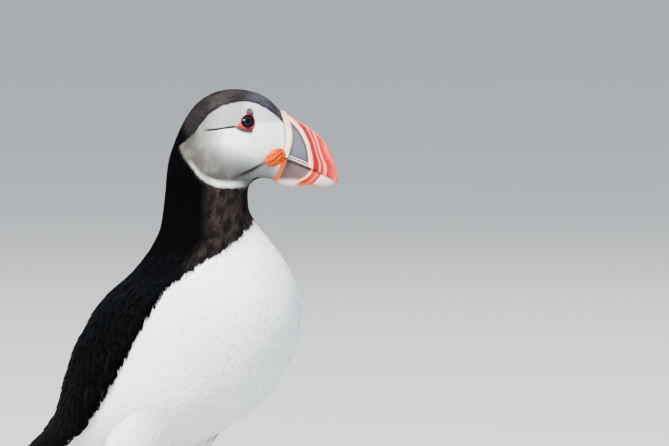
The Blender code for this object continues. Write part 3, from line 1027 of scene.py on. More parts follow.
@dataclass(frozen=True)
class BandedHornFinish:
    """The bill's horn: bands along a kept measure, an orange rim, painted shadow, and painted highlights
    along the mouth.
    """

    name: str
    reach: Pair
    bands: Stops
    edge: Colour
    rim: Colour
    # the dark mouth colour: on the upper half a painted shadow along the cere's front, and a darkening of
    # the plate's lower part
    mouth: Colour
    # lines along the mouth: pale ones are painted highlights on its lit edges, dark ones painted shadow
    painted_mouth_lines: Stops
    roughness: float = 0.34
    # pale patches on the red, partly painted highlight
    blush: Colour = (0.86, 0.13, 0.12)

    def make(self) -> Material:
        """Makes the material.

        Returns:
            The material.
        """
        s = Shader(self.name, self.roughness, Specular_IOR_Level=0.16, Coat_Weight=0.03, Coat_Roughness=0.2)
        wobble = s.noise(260.0, 2.0)
        away = s.roughened(s.attribute("band"), wobble, 0.45)
        low, high = self.reach
        share = s.rescaled(away, low, high)
        colour = s.ramp(share, [((r - low) / (high - low), c) for r, c in self.bands])
        fine = s.noise(1400.0, 5.0)
        colour = s.mix(1.0, colour, s.grey(s.rescaled(fine, 0.25, 0.8, 0.86, 1.10)), "MULTIPLY")
        pale = s.noise(170.0, 3.0, (1, 1, 1.6))
        patch = s.rescaled(pale, 0.50, 0.66, 0.0, 0.4)
        # pale patches on the red, partly painted highlight
        colour = s.mix(s.maths("MULTIPLY", patch, s.attribute("blush")), colour, self.blush)
        height = s.roughened(s.attribute("height"), wobble, 0.2)
        top = self.painted_mouth_lines[-1][0]
        stripe = s.ramp(s.maths("DIVIDE", height, top), [(h / top, c) for h, c in self.painted_mouth_lines])
        near = s.rescaled(height, top - 0.2, top, 1.0, 0.0)
        # painted shadow along the cere's front, and the plate darker towards the mouth
        colour = s.mix(s.attribute("mouth"), colour, self.mouth)
        # painted highlight and shadow lines along the mouth
        colour = s.mix(s.maths("MULTIPLY", near, s.attribute("striped")), colour, stripe)
        colour = s.mix(s.attribute("edge"), colour, self.edge)
        colour = s.mix(s.attribute("rim"), colour, self.rim)
        scratch = s.noise(2600.0, 3.0, (1, 1, 0.3))
        s.bump(s.plus(fine, scratch, 0.5), 0.00007)
        return s.finish(colour, s.rescaled(fine, 0.3, 0.7, self.roughness, self.roughness + 0.16))


@dataclass(frozen=True)
class EyeFinish:
    """The wet eye: black pupil, dark slate iris with a faint blue ring, black rim."""

    name: str = "wet_eye"

    def make(self) -> Material:
        """Makes the material.

        Returns:
            The material.
        """
        s = Shader(self.name, 0.15, Specular_IOR_Level=0.02, Coat_Weight=0.14, Coat_Roughness=0.02)
        ring = s.maths("DIVIDE", s.attribute("ring"), 4.0)
        ring = s.roughened(ring, s.noise(3000.0, 3.0), 0.03)
        colour = s.ramp(
            ring,
            [
                (0.24, (0.0004, 0.0005, 0.0005)), (0.29, (0.0016, 0.0017, 0.0032)),
                (0.45, (0.0050, 0.0054, 0.0130)), (0.58, (0.0036, 0.0040, 0.0095)),
                (0.66, (0.0008, 0.0008, 0.0014)), (0.90, (0.0010, 0.0008, 0.0008)),
            ],
        )
        return s.finish(colour)


@dataclass(frozen=True)
class StudioFinish:
    """Plain matt paper under and around the bird."""

    name: str
    colour: Colour

    def make(self) -> Material:
        """Makes the material.

        Returns:
            The material.
        """
        s = Shader(self.name, 0.9)
        tone = s.noise(3.0, 2.0)
        return s.finish(s.ramp(tone, [(0.0, tuple(c * 0.98 for c in self.colour)), (1.0, self.colour)]))


# ---- Meshes


def mesh_object(name: str, points: Array, quads: Array, material: Material) -> Piece:
    """A smooth-shaded object from points in mm and faces of four corners.

    Args:
        name: the piece's name.
        points: (left, forward, up) places.
        quads: rows of four point numbers.
        material: its finish.

    Returns:
        The object, linked to the scene.
    """
    mesh = bpy.data.meshes.new(name)
    points = to_world(points).reshape(-1, 3).astype(np.float32)
    quads = np.asarray(quads, np.int32)
    mesh.vertices.add(len(points))
    mesh.vertices.foreach_set("co", points.ravel())
    mesh.loops.add(quads.size)
    mesh.loops.foreach_set("vertex_index", quads.ravel())
    mesh.polygons.add(len(quads))
    mesh.polygons.foreach_set("loop_start", np.arange(0, quads.size, 4, dtype=np.int32))
    mesh.update(calc_edges=True)
    mesh.validate()
    mesh.shade_smooth()
    mesh.materials.append(material)
    made = bpy.data.objects.new(name, mesh)
    bpy.context.scene.collection.objects.link(made)
    return made


def put(piece: Piece, name: str, values: Array) -> None:
    """Stores a number, vector or colour at every point of a piece.

    Args:
        piece: the piece.
        name: the attribute's name.
        values: one row for each point.
    """
    values = np.asarray(values, np.float32)
    kind, key = "FLOAT_VECTOR", "vector"
    if values.ndim == 1:
        kind, key = "FLOAT", "value"
    elif name == "tint":
        kind, key = "FLOAT_COLOR", "color"
        values = np.hstack([values, np.ones((len(values), 1), np.float32)])
    piece.data.attributes.new(name, kind, "POINT").data.foreach_set(key, values.ravel())


def put_bake_map(piece: Piece, spots: Array) -> None:
    """Gives a piece the map in which each feather is a small patch at its root's place."""
    layer = piece.data.uv_layers.new(name="OFBake")
    layer.data.foreach_set("uv", np.asarray(spots, np.float32).ravel())


def tube_quads(rows: int, columns: int, closed: bool = True) -> Array:
    """Faces of a sheet of rows and columns of points, joined round if it is closed.

    Args:
        rows: rows of points.
        columns: points in a row.
        closed: whether each row joins up.

    Returns:
        Rows of four point numbers.
    """
    i = np.arange(rows - 1)[:, None]
    j = np.arange(columns if closed else columns - 1)[None, :]
    k = (j + 1) % columns
    first, second = i * columns, (i + 1) * columns
    return np.stack([first + j, first + k, second + k, second + j], -1).reshape(-1, 4)


def closed_rings(rings: Array, shares: Sequence[float] = (0.5, 0.0)) -> Array:
    """Rings with smaller ones added at both ends, so that the form closes.

    Args:
        rings: the rings.
        shares: the smaller rings' sizes.

    Returns:
        All the rings.
    """
    first, last = rings[0], rings[-1]
    start = [first.mean(0) + (first - first.mean(0)) * k for k in reversed(shares)]
    end = [last.mean(0) + (last - last.mean(0)) * k for k in shares]
    return np.concatenate([np.array(start), rings, np.array(end)])


def end_values(rows: Array) -> Array:
    """One value per ring point, with the end rows' values for the smaller rings that close the form."""
    return np.concatenate([rows[:1], rows[:1], rows, rows[-1:], rows[-1:]])


def outward(points: Array, quads: Array) -> Array:
    """The faces of a closed form, turned so that they face outwards in the frame.

    Args:
        points: the form's points, in mm.
        quads: its faces.

    Returns:
        The faces.
    """
    p = to_world(points).reshape(-1, 3)
    a, b, c, d = (p[quads[:, k]] for k in range(4))
    volume = np.einsum("ij,ij->i", a, np.cross(b, c)).sum() + np.einsum("ij,ij->i", a, np.cross(c, d)).sum()
    return quads if volume > 0 else quads[:, ::-1]


def form_of(name: str, rings: Array, material: Material) -> Piece:
    """A form through rings of points in mm that close at both ends."""
    return mesh_object(name, rings, outward(rings, tube_quads(*rings.shape[:2])), material)


def loft(name: str, rings: Array, material: Material) -> Piece:
    """A form through rings of points in mm, closed at both ends here."""
    return form_of(name, closed_rings(rings), material)


def weld(piece: Piece) -> None:
    """Joins points that share a place, so that the ends of a form close.

    Args:
        piece: the piece.
    """
    form = bmesh.new()
    form.from_mesh(piece.data)
    bmesh.ops.remove_doubles(form, verts=form.verts, dist=1e-6)
    form.to_mesh(piece.data)
    form.free()


def dress(piece: Piece, slot: Slot, *nodes: str) -> Piece:
    """Rides a piece on the bird and says which solids it stands for, hiding them.

    Args:
        piece: the piece.
        slot: its material slot; not used.
        nodes: the solids.

    Returns:
        The piece.
    """
    if not piece.data.uv_layers:
        weld(piece)
    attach(piece, "root")
    if nodes:
        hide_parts(*nodes)
    log.info("%s: %d faces, for %s", piece.name, len(piece.data.polygons), ", ".join(nodes) or "the coat")
    return piece


@dataclass
class Feathers:
    """Many feathers as ribbons: each follows its own line over the skin."""

    centre: Array  # feathers, steps, 3
    normal: Array
    half_width: Array  # feathers, steps
    tint: Array  # feathers, steps, 3
    root: Array  # feathers, 2: place in the bake map
    across: int = 3
    camber: float = 0.22
    ridge: float = 0.0
    thickness: float = 0.0

    def build(self, name: str, material: Material) -> Piece:
        """Makes one joined mesh of all the feathers.

        Args:
            name: the piece's name.
            material: its finish.

        Returns:
            The object.
        """
        count, steps = self.half_width.shape
        side = unit(np.cross(unit(np.gradient(self.centre, axis=1)), self.normal))[:, :, None, :]
        normal, half = self.normal[:, :, None, :], self.half_width[:, :, None]
        j = np.linspace(-1, 1, self.across)
        drop = half * self.camber * j**2 - self.ridge * (np.abs(j) < 0.01)
        points = self.centre[:, :, None, :] + side * (half * j)[..., None] - normal * drop[..., None]
        lateral = np.broadcast_to(j, (count, steps, self.across))
        if self.thickness:
            points = np.concatenate([points, points[:, :, ::-1] - normal * self.thickness], axis=2)
            lateral = np.concatenate([lateral, lateral[:, :, ::-1]], axis=2)
        columns = points.shape[2]
        one = tube_quads(steps, columns, closed=bool(self.thickness))
        if self._faces_in(to_world(points[0]).reshape(-1, 3), one[: self.across - 1]):
            one = one[:, ::-1]
        quads = (one[None] + (np.arange(count) * steps * columns)[:, None, None]).reshape(-1, 4)
        piece = mesh_object(name, points, quads, material)
        along = np.broadcast_to(np.linspace(0, 1, steps)[None, :, None], lateral.shape)
        own = np.broadcast_to((np.arange(count) * 0.618 % 1 * 6.28)[:, None, None], lateral.shape)
        put(piece, "tint", np.repeat(self.tint[:, :, None, :], columns, axis=2).reshape(-1, 3))
        put(piece, "vane", np.stack([lateral, along, own], -1).reshape(-1, 3))
        spot = self.root[:, None, None, :] + np.stack([lateral * 0.0015, (along - 0.5) * 0.003], -1)
        put_bake_map(piece, np.clip(spot.reshape(-1, 2), 0, 1)[quads.ravel()])
        return piece

    def _faces_in(self, w: Array, quads: Array) -> bool:
        """Whether the first feather's faces look away from its outward direction.

        Args:
            w: the feather's points, in metres.
            quads: its faces.

        Returns:
            Whether they do.
        """
        facing = np.cross(w[quads[:, 1]] - w[quads[:, 0]], w[quads[:, 2]] - w[quads[:, 0]])
        up = to_world(self.normal[0]) - to_world(np.zeros(3))
        return (facing @ up[0]).sum() < 0


def bake_spot(place: Array, around: Array) -> Array:
    """A place on the skin's own unwrap, from 0 to 1 both ways."""
    turn = (np.asarray(around, float) + 90) % 360 / 360
    return np.stack([0.005 + 0.99 * turn, 0.005 + 0.99 * np.clip(np.asarray(place) / 25.0, 0, 1)], -1)


# ---- The bird's pieces


@dataclass
class Skin:
    """One skin over the flesh, from the base of the bill to the tail, with wings and thighs swelling it."""

    surface: SkinSurface
    markings: Markings
    finish: PlumageFinish = PlumageFinish("skin_under_coat", 0.75, gloss=0.05, barbs=0.00003, contrast=0.04)
    last: float = 22.5

    def build(self) -> Piece:
        """Makes the skin and puts it in place of the solids of flesh.

        Returns:
            The skin.
        """
        rows = np.arange(0, int(self.last / self.surface.places[1]) + 1, 2)
        columns = np.arange(0, len(self.surface.turns), 2)
        place, around = np.meshgrid(self.surface.places[rows], self.surface.turns[columns], indexing="ij")
        grid = self.surface.grid[np.ix_(rows, columns)]
        rear = grid[-1] + (grid[-1].mean(0) - grid[-1]) * 0.985
        bow = self._front_rings(grid[0])
        points = np.concatenate([bow, grid, rear[None]])

        def for_all(values: Array) -> Array:
            """Values for every ring from those of the grid's rings."""
            values = np.concatenate([np.repeat(values[:1], len(bow), 0), values, values[-1:]])
            return values.reshape(-1, values.shape[-1])

        quads = outward(points, tube_quads(*points.shape[:2]))
        piece = mesh_object("skin", points, quads, self.finish.make())
        tint = self.markings.colour(self.surface, place, around, self.surface.plan[np.ix_(rows, columns)])
        put(piece, "tint", for_all(tint))
        put(piece, "vane", np.zeros((len(piece.data.vertices), 3)))
        corner = for_all(bake_spot(place, around))[quads]
        wraps = corner[..., 0].max(1) - corner[..., 0].min(1) > 0.5
        corner[..., 0] = np.where(wraps[:, None] & (corner[..., 0] < 0.5), 0.999, corner[..., 0])
        put_bake_map(piece, corner)
        flesh = [f"{part}_{side.word}" for part in ("thigh", "wing") for side in Side]
        return dress(piece, Slot.WHITE, "head", "neck", "trunk", *flesh)

    @staticmethod
    def _front_rings(ring: Array) -> Array:
        """Rings that close the front, keeping its bow: each moves inwards sideways only.

        Args:
            ring: the skin's first ring.

        Returns:
            Two rings, the narrow one first.
        """
        turn = math.radians(HEAD_TURN)
        axis = unit(np.array([math.cos(turn), -math.sin(turn), 0.0]))
        sideways = (ring - ring.mean(0)) @ axis
        return np.array([ring - (sideways * (1 - share))[:, None] * axis for share in (0.02, 0.5)])


@dataclass(frozen=True)
class CoatPatch:
    """One part of the coat: how many feathers, how long and wide, how far they stand out, in mm."""

    name: str
    slot: Slot
    count: int
    length: float
    width: float
    lift: float
    steps: int = 4
    sway: float = 5.0
    # how light the tip is; on black feathers partly a paler edge and partly painted sheen
    tip: float = 1.0
    spread: float = 0.05


@dataclass
class Coat:
    """Body feathers in patches, each lying along the body from bill to tail."""

    surface: SkinSurface
    markings: Markings
    finishes: dict[Slot, Material]
    patches: tuple[CoatPatch, ...] = (
        CoatPatch("coat_face", Slot.FACE, 22000, 2.5, 0.50, 0.022, 3, 5, 1.0, 0.02),
        CoatPatch("coat_crown", Slot.BLACK, 17000, 2.8, 0.62, 0.08, 3, 8, 1.3, 0.20),
        CoatPatch("coat_neck", Slot.BLACK, 23000, 4.4, 0.95, 0.20, 3, 7, 1.3, 0.20),
        CoatPatch("coat_breast", Slot.WHITE, 16500, 7.2, 1.15, 0.32, 4, 6, 1.0, 0.03),
        CoatPatch("coat_belly", Slot.WHITE, 16500, 8.5, 1.6, 0.35, 4, 6, 1.0, 0.03),
        CoatPatch("coat_back", Slot.BLACK, 10000, 8.5, 2.5, 0.45, 4, 6, 1.8, 0.2),
    )
    eye_middle: Pair = (15.8, 223.4)
    eye_gap: float = 3.9
    last_station: float = 22.3
    seed: int = 100

    def region(self, name: str) -> Array:
        """How much each grid point of the skin counts for a patch.

        Args:
            name: the patch's name.

        Returns:
            Each point's share, 0 outside the patch.
        """
        surface, marks, plan = self.surface, self.markings, self.surface.plan
        place, around = np.meshgrid(surface.places, surface.turns, indexing="ij")
        face = (marks.face_reach(plan) > -0.2) & (place < 9)
        crown = (marks.cap_reach(plan) > -0.2) & (place < 9) & (plan[..., 2] > 211) & ~face
        dark = marks.dark_reach(surface.form, place, around, plan) > 0
        inside = (place > 0.02) & (place < self.last_station) & (surface.pulled < 2.5)
        folded = as_left(around)
        low, high, _ = surface.form.wing_edges(place)
        wing = (folded > low + 1) & (folded < high - 3) & (place > 13.1)
        if name == "coat_face":
            middle = self.eye_middle
            eye = np.hypot(plan[..., 1] - middle[0], plan[..., 2] - middle[1]) < self.eye_gap
            closer = 1 + 4 * np.exp(-place / 0.2) + 1.2 * np.exp(-place / 1.6)
            return (face & ~eye & (place > 0.02)) * closer
        if name == "coat_crown":
            return (crown & (place > 0.02)).astype(float)
        if name == "coat_neck":
            return dark * ~face * ~crown * (place > 0.02) * eased((12.6 - place) / 1.6)
        if name == "coat_breast":
            return (~dark & ~face & ~crown & inside & (place < 15.2)).astype(float)
        if name == "coat_belly":
            return (~dark & inside & (place >= 15.2)).astype(float)
        return dark * ~wing * inside * eased((place - 11.0) / 1.6)

    def build(self) -> None:
        """Makes every patch."""
        for number, patch in enumerate(self.patches):
            rng = np.random.default_rng(self.seed + number)
            place, around = self.surface.scatter(self.region(patch.name), patch.count, rng)
            feathers = self.lay(patch, place, around, rng)
            dress(feathers.build(patch.name, self.finishes[patch.slot]), patch.slot)

    def clear_share(self, patch: CoatPatch, place: Array, around: Array, step: Array) -> Array:
        """How much of each pale feather may lie before it would cover a crease or cross onto dark ground.

        Args:
            patch: the feathers' part of the coat.
            place: the roots' stations.
            around: the roots' degrees.
            step: the feathers' reach, in stations.

        Returns:
            A share of each feather's reach.
        """
        t = np.linspace(0, 1, 9)
        s, a = place[:, None] + step[:, None] * t, np.repeat(around[:, None], 9, 1)
        plan = self.surface.look(s, a).plan
        ragged = lattice_noise(plan[:, :1], 0.7, 31)
        if patch.slot is Slot.FACE:
            ahead, up = plan[..., 1], plan[..., 2]
            near = (line_distance(ahead, up, SkinSurface.furrow) < 0.55) & (ahead > -4)
            near |= (line_distance(ahead, up, SkinSurface.jaw_crease) < 0.6) & (np.abs(ahead - 17.5) < 5.5)
            near |= self.markings.face_reach(plan) < -0.1 - 0.8 * ragged
        else:
            near = self.markings.dark_reach(self.surface.form, s, a, plan) > 0.3 + 0.9 * ragged
        first = np.where(near.any(1), near.argmax(1), 9)
        return np.clip((first - 0.5) / 8.0, 0.03, 1)

    def lay(self, patch: CoatPatch, place: Array, around: Array, rng: np.random.Generator) -> Feathers:
        """Lays feathers down from their roots.

        Args:
            patch: their sizes.
            place: the roots' stations.
            around: the roots' degrees.
            rng: the seeded source of jitter.

        Returns:
            The feathers.
        """
        count, steps = len(place), patch.steps
        t = np.linspace(0, 1, steps)
        root = self.surface.look(place, around)
        small = np.interp(place, [0, 1.5, 3.5], [0.7, 0.88, 1.0])
        length = patch.length * small * rng.uniform(0.8, 1.2, count)
        step = np.minimum(length / np.maximum(root.speed, 2.5), 1.4)
        clear = np.ones(count) if patch.slot is Slot.BLACK else self.clear_share(patch, place, around, step)
        step = step * clear
        s = place[:, None] + step[:, None] * t
        half = self.surface.form.curve.at(place)[..., 4]
        sway = rng.normal(0, patch.sway, count) * length / np.maximum(half, 5) / 6
        a = around[:, None] + sway[:, None] * t**1.5
        seen = self.surface.look(s, a)
        rise = patch.lift * small * rng.uniform(0.6, 1.5, count)
        sunk = 0.22 * np.clip(place / 0.6, 0, 1)
        stand = 0.022 if patch.slot is Slot.FACE else 0.08
        lift = 0.04 - sunk[:, None] * (1 - t) + (rise[:, None] + stand) * np.sin(t * 1.9)
        lift = lift + rng.uniform(-0.6, 0.6, count)[:, None] * stand
        profile = np.interp(t, [0, 0.35, 0.7, 0.9, 1.0], [0.6, 1.0, 0.95, 0.62, 0.22])
        width = patch.width * small * rng.uniform(0.8, 1.2, count) / 2 * np.minimum(1, 3 * clear)
        tint = self.markings.colour(self.surface, s, a, seen.plan)
        tone = 1 + rng.normal(0, patch.spread, count)
        # painted shade: each feather darker at its root, where the one above overlaps it; the lighter tip
        # of black feathers is partly painted sheen
        shade = np.interp(t, [0, 0.5, 1], [0.9, 1.0, patch.tip])
        tint = np.clip(tint * (tone[:, None] * shade[None])[..., None], 0, 0.9)
        return Feathers(
            centre=seen.point + seen.normal * lift[..., None],
            normal=seen.normal,
            half_width=width[:, None] * profile,
            tint=tint,
            root=bake_spot(place, around),
            camber=0.12 if patch.slot is Slot.FACE else 0.22,
        )


@dataclass
class ThighFeathers:
    """The loose white feathers of both thighs, running down to the ankle."""

    surface: SkinSurface
    finish: Material
    count: int = 2600
    length: float = 7.5
    width: float = 1.9
    white: Colour = (0.74, 0.76, 0.76)
    seed: int = 300

    def build(self) -> None:
        """Makes the feathers of each thigh."""
        for thigh in self.surface.thighs:
            feathers = self.lay(thigh, np.random.default_rng(self.seed + thigh.side.value))
            dress(feathers.build(f"coat_thigh_{thigh.side.word}", self.finish), Slot.WHITE)

    def lay(self, thigh: Thigh, rng: np.random.Generator) -> Feathers:
        """Lays one thigh's feathers down its line.

        Args:
            thigh: the thigh.
            rng: the seeded source of jitter.

        Returns:
            The feathers.
        """
        t = np.linspace(0, 1, 4)
        down = 2 + 30.5 * rng.random(self.count) ** 0.9
        turn = rng.random(self.count) * 2 * math.pi
        reach = down[:, None] + self.length * t * rng.uniform(0.7, 1.1, self.count)[:, None]
        radius = np.maximum(thigh.radius(np.minimum(reach, 34.2)), 3.6) - 1.2 * eased((reach - 33.5) / 4)
        lift = -0.6 * (1 - t) + 0.28 * np.sin(t * 2) * rng.uniform(0.6, 1.3, self.count)[:, None]
        across = np.array([1.0, 0.0, 0.0])
        out = np.cos(turn)[:, None] * across + np.sin(turn)[:, None] * np.cross(thigh.line, across)
        centre = thigh.start + np.minimum(reach, 38.5)[..., None] * thigh.line
        centre = centre + out[:, None] * (radius + lift)[..., None]
        half = self.width / 2 * np.array([0.6, 1.0, 0.9, 0.25]) * np.ones((self.count, 1))
        # painted shade: each feather darker at its root, under the one above
        tone = rng.normal(1, 0.05, self.count)[:, None] * np.array([0.85, 0.97, 1.0, 1.0])
        tint = np.array(self.white) * np.clip(tone, 0, 1.15)[..., None]
        around = -50 + 20 * np.cos(turn)
        around = around if thigh.side is Side.LEFT else 180 - around
        spot = bake_spot(17.5 + 2.5 * down / 34, around)
        return Feathers(centre, np.repeat(out[:, None], 4, axis=1), half, tint, spot)


@dataclass(frozen=True)
class CovertRow:
    """A band of the folded wing's feathers: from where to where, their size and how much of each shows."""

    start: float
    end: float
    length: float
    width: float
    shows: float


@dataclass
class FoldedWing:
    """The folded wing's coverts, secondaries and primaries, and the scapulars over its root."""

    surface: SkinSurface
    side: Side
    finish: Material
    rows: tuple[CovertRow, ...] = (
        CovertRow(12.85, 13.9, 4.5, 2.8, 2.0),
        CovertRow(13.9, 15.8, 6.5, 3.8, 3.0),
        CovertRow(15.8, 17.6, 9.0, 5.0, 4.2),
        CovertRow(17.6, 19.2, 13.0, 6.2, 5.5),
        CovertRow(19.2, 21.3, 20.0, 6.6, 6.5),
    )
    primaries: int = 9
    steps: int = 7
    shaft_thickness: float = 0.45
    blue_black: Colour = (0.0005, 0.0007, 0.0010)
    brown_black: Colour = (0.0014, 0.0010, 0.0009)
    quill_black: Colour = (0.0016, 0.0016, 0.0018)
    seed: int = 500

    def build(self) -> None:
        """Makes the wing's three groups of feathers."""
        word = self.side.word
        dress(self.coverts().build(f"coverts_{word}", self.finish), Slot.BLACK)
        dress(self.scapulars().build(f"scapulars_{word}", self.finish), Slot.BLACK)
        quills = self.long_feathers().build(f"flight_feathers_{word}", self.finish)
        dress(quills, Slot.BLACK, f"primaries_{word}")

    def _turn(self, around: Array) -> Array:
        """Degrees on this side of the bird from degrees on the left."""
        return around if self.side is Side.LEFT else 180 - around

    def _lay(self, s: Array, a: Array, lift: Array, half: Array, tint: Array, thick: float) -> Feathers:
        """Feathers along given lines over the skin.

        Args:
            s: stations along each feather.
            a: degrees round the body along it, as on the left.
            lift: how far it stands off the skin, in mm.
            half: its half widths.
            tint: its colours.
            thick: its thickness, or 0 for a single sheet.

        Returns:
            The feathers.
        """
        seen = self.surface.look(s, self._turn(a))
        return Feathers(
            centre=seen.point + seen.normal * lift[..., None],
            normal=seen.normal,
            half_width=half,
            tint=tint,
            root=bake_spot(s[:, 0], self._turn(a[:, 0])),
            across=5,
            camber=0.16,
            ridge=0.10,
            thickness=thick,
        )

    def _tints(self, count: int, rng: np.random.Generator, brown: float = 0.3) -> Array:
        """Black feathers with a faint blue or brown cast, darker at the root as painted shade, lighter at
        the tip, partly as painted sheen.

        Args:
            count: how many feathers.
            rng: the seeded source of variation.
            brown: how far they lean to brown.

        Returns:
            Colours along each feather.
        """
        t = np.linspace(0, 1, self.steps)
        blue, warm = np.array(self.blue_black), np.array(self.brown_black)
        share = np.clip(rng.random(count) * brown * 2, 0, 1)[:, None]
        base = blue + (warm - blue) * share
        # darker at the root as painted shade under the feather above; lighter towards the tip, partly a
        # paler edge and partly painted sheen
        edge = np.interp(t, [0, 0.7, 0.93, 1], [0.8, 1.0, 1.5, 2.0])
        return base[:, None, :] * edge[None, :, None] * rng.uniform(0.8, 1.25, count)[:, None, None]

    def _covert_roots(self) -> Array:
        """Stations, degrees, lengths and widths of the coverts: staggered rows from the shoulder back.

        Returns:
            One row for each feather.
        """
        form, roots = self.surface.form, []
        for row in self.rows:
            place, odd = row.start, False
            while place < row.end:
                low, high, _ = form.wing_edges(place)
                half = float(form.curve.at(place)[4])
                many = max(2, int((high - low) * math.radians(half) / (row.width * 0.72)))
                shares = [(k + 0.5 * odd) / many for k in range(many + 1)]
                turns = [low + 1.0 + (high - low - 1.5) * share for share in shares if share <= 1]
                roots += [(place, turn, row.length, row.width) for turn in turns]
                place += row.shows / float(self.surface.look(place, (low + high) / 2).speed)
                odd = not odd
        return np.array(roots)

    def coverts(self) -> Feathers:
        """The wing's small feathers in staggered rows, longer towards the tip.

        Returns:
            The feathers.
        """
        rng = np.random.default_rng(self.seed)
        t = np.linspace(0, 1, self.steps)
        roots = self._covert_roots()
        count = len(roots)
        roots[:, 0] += rng.normal(0, 0.03, count)
        roots[:, 1] += rng.normal(0, 0.5, count)
        place, around, length, width = roots.T[..., None]
        speed = self.surface.look(place, self._turn(around)).speed
        s = place + length * rng.uniform(0.92, 1.1, count)[:, None] / speed * t
        low, high, _ = self.surface.form.wing_edges(s)
        first_low, first_high, _ = self.surface.form.wing_edges(place)
        share = np.clip((around - first_low) / (first_high - first_low), 0.0, 1)
        a = low + (high - low) * share + rng.normal(0, 0.8, count)[:, None] * t
        lift = -0.2 + 0.75 * t + rng.uniform(0, 0.12, count)[:, None]
        lift = lift + np.interp(s, [19.4, 20.6, 21.6, 23.0], [0.0, 0.7, 1.7, 2.4]) * t**0.7
        half = width / 2 * np.interp(t, [0, 0.3, 0.75, 0.92, 1], [0.55, 0.95, 1.0, 0.72, 0.15])
        return self._lay(s, a, lift, half, self._tints(count, rng, 0.35), 0.0)

    def scapulars(self) -> Feathers:
        """Longer feathers that fall from the shoulder over the wing's upper edge.

        Returns:
            The feathers.
        """
        rng = np.random.default_rng(self.seed + 1)
        t = np.linspace(0, 1, self.steps)
        i, k = (grid.ravel() for grid in np.meshgrid(range(13), range(7), indexing="ij"))
        roots = np.column_stack([11.9 + 0.42 * i + 0.1 * (k % 2), 34 + 3.0 * i + (k - 3) * 7.0])
        _, high, _ = self.surface.form.wing_edges(roots[:, 0])
        roots = roots[(roots[:, 1] > high - 14) & (roots[:, 1] < 86)]
        count = len(roots)
        roots += rng.normal(0, 1, roots.shape) * (0.05, 1.2)
        place, around = roots.T[..., None]
        speed = self.surface.look(place, self._turn(around)).speed
        s = place + rng.uniform(12, 17, count)[:, None] / speed * t
        lift = 1.1 * t + rng.uniform(0, 0.2, count)[:, None]
        profile = np.interp(t, [0, 0.3, 0.75, 0.92, 1], [0.6, 1.0, 1.0, 0.7, 0.15])
        half = rng.uniform(2.6, 3.4, count)[:, None] * profile
        return self._lay(s, around - 5.0 * t, lift, half, self._tints(count, rng, 0.12), 0.0)

    def long_feathers(self) -> Feathers:
        """The primaries, longest at the lower edge, with the inner ones lying over them.

        Returns:
            The feathers.
        """
        rng = np.random.default_rng(self.seed + 2)
        n, i = self.primaries, np.arange(self.primaries)
        t = np.linspace(0, 1, self.steps + 5)
        start = 19.6 + 0.05 * i
        end = 22.3 + 2.35 * (i / (n - 1)) ** 0.8 + rng.normal(0, 0.04, n)
        s = start[:, None] + (end - start)[:, None] * t
        low, high, _ = self.surface.form.wing_edges(s)
        share = (0.84 - 0.66 * i / (n - 1))[:, None] * (1 - 0.15 * t)
        a = low + (high - low) * np.clip(share, 0.12, 0.9)
        ease = np.interp(s, [19.6, 21, 22.5, 24.7], [-0.6, 0.0, 0.7, 0.8])
        lift = ease + (n - 1 - i)[:, None] * np.interp(s, [20, 22.5], [0.05, 0.24])
        profile = np.interp(t, [0, 0.2, 0.75, 0.93, 1], [0.7, 1.0, 0.9, 0.55, 0.12])
        width = np.interp(end, [22, 24.7], [3.0, 3.4])
        half = width[:, None] * profile * np.interp(s, [22, 24.7], [1.0, 0.8])
        tone = rng.uniform(0.7, 1.4, n)[:, None] * np.interp(t, [0, 0.85, 1], [1, 1.2, 1.9])
        tint = np.array(self.quill_black) * tone[..., None]
        return self._lay(s, a, lift, half, tint, self.shaft_thickness)


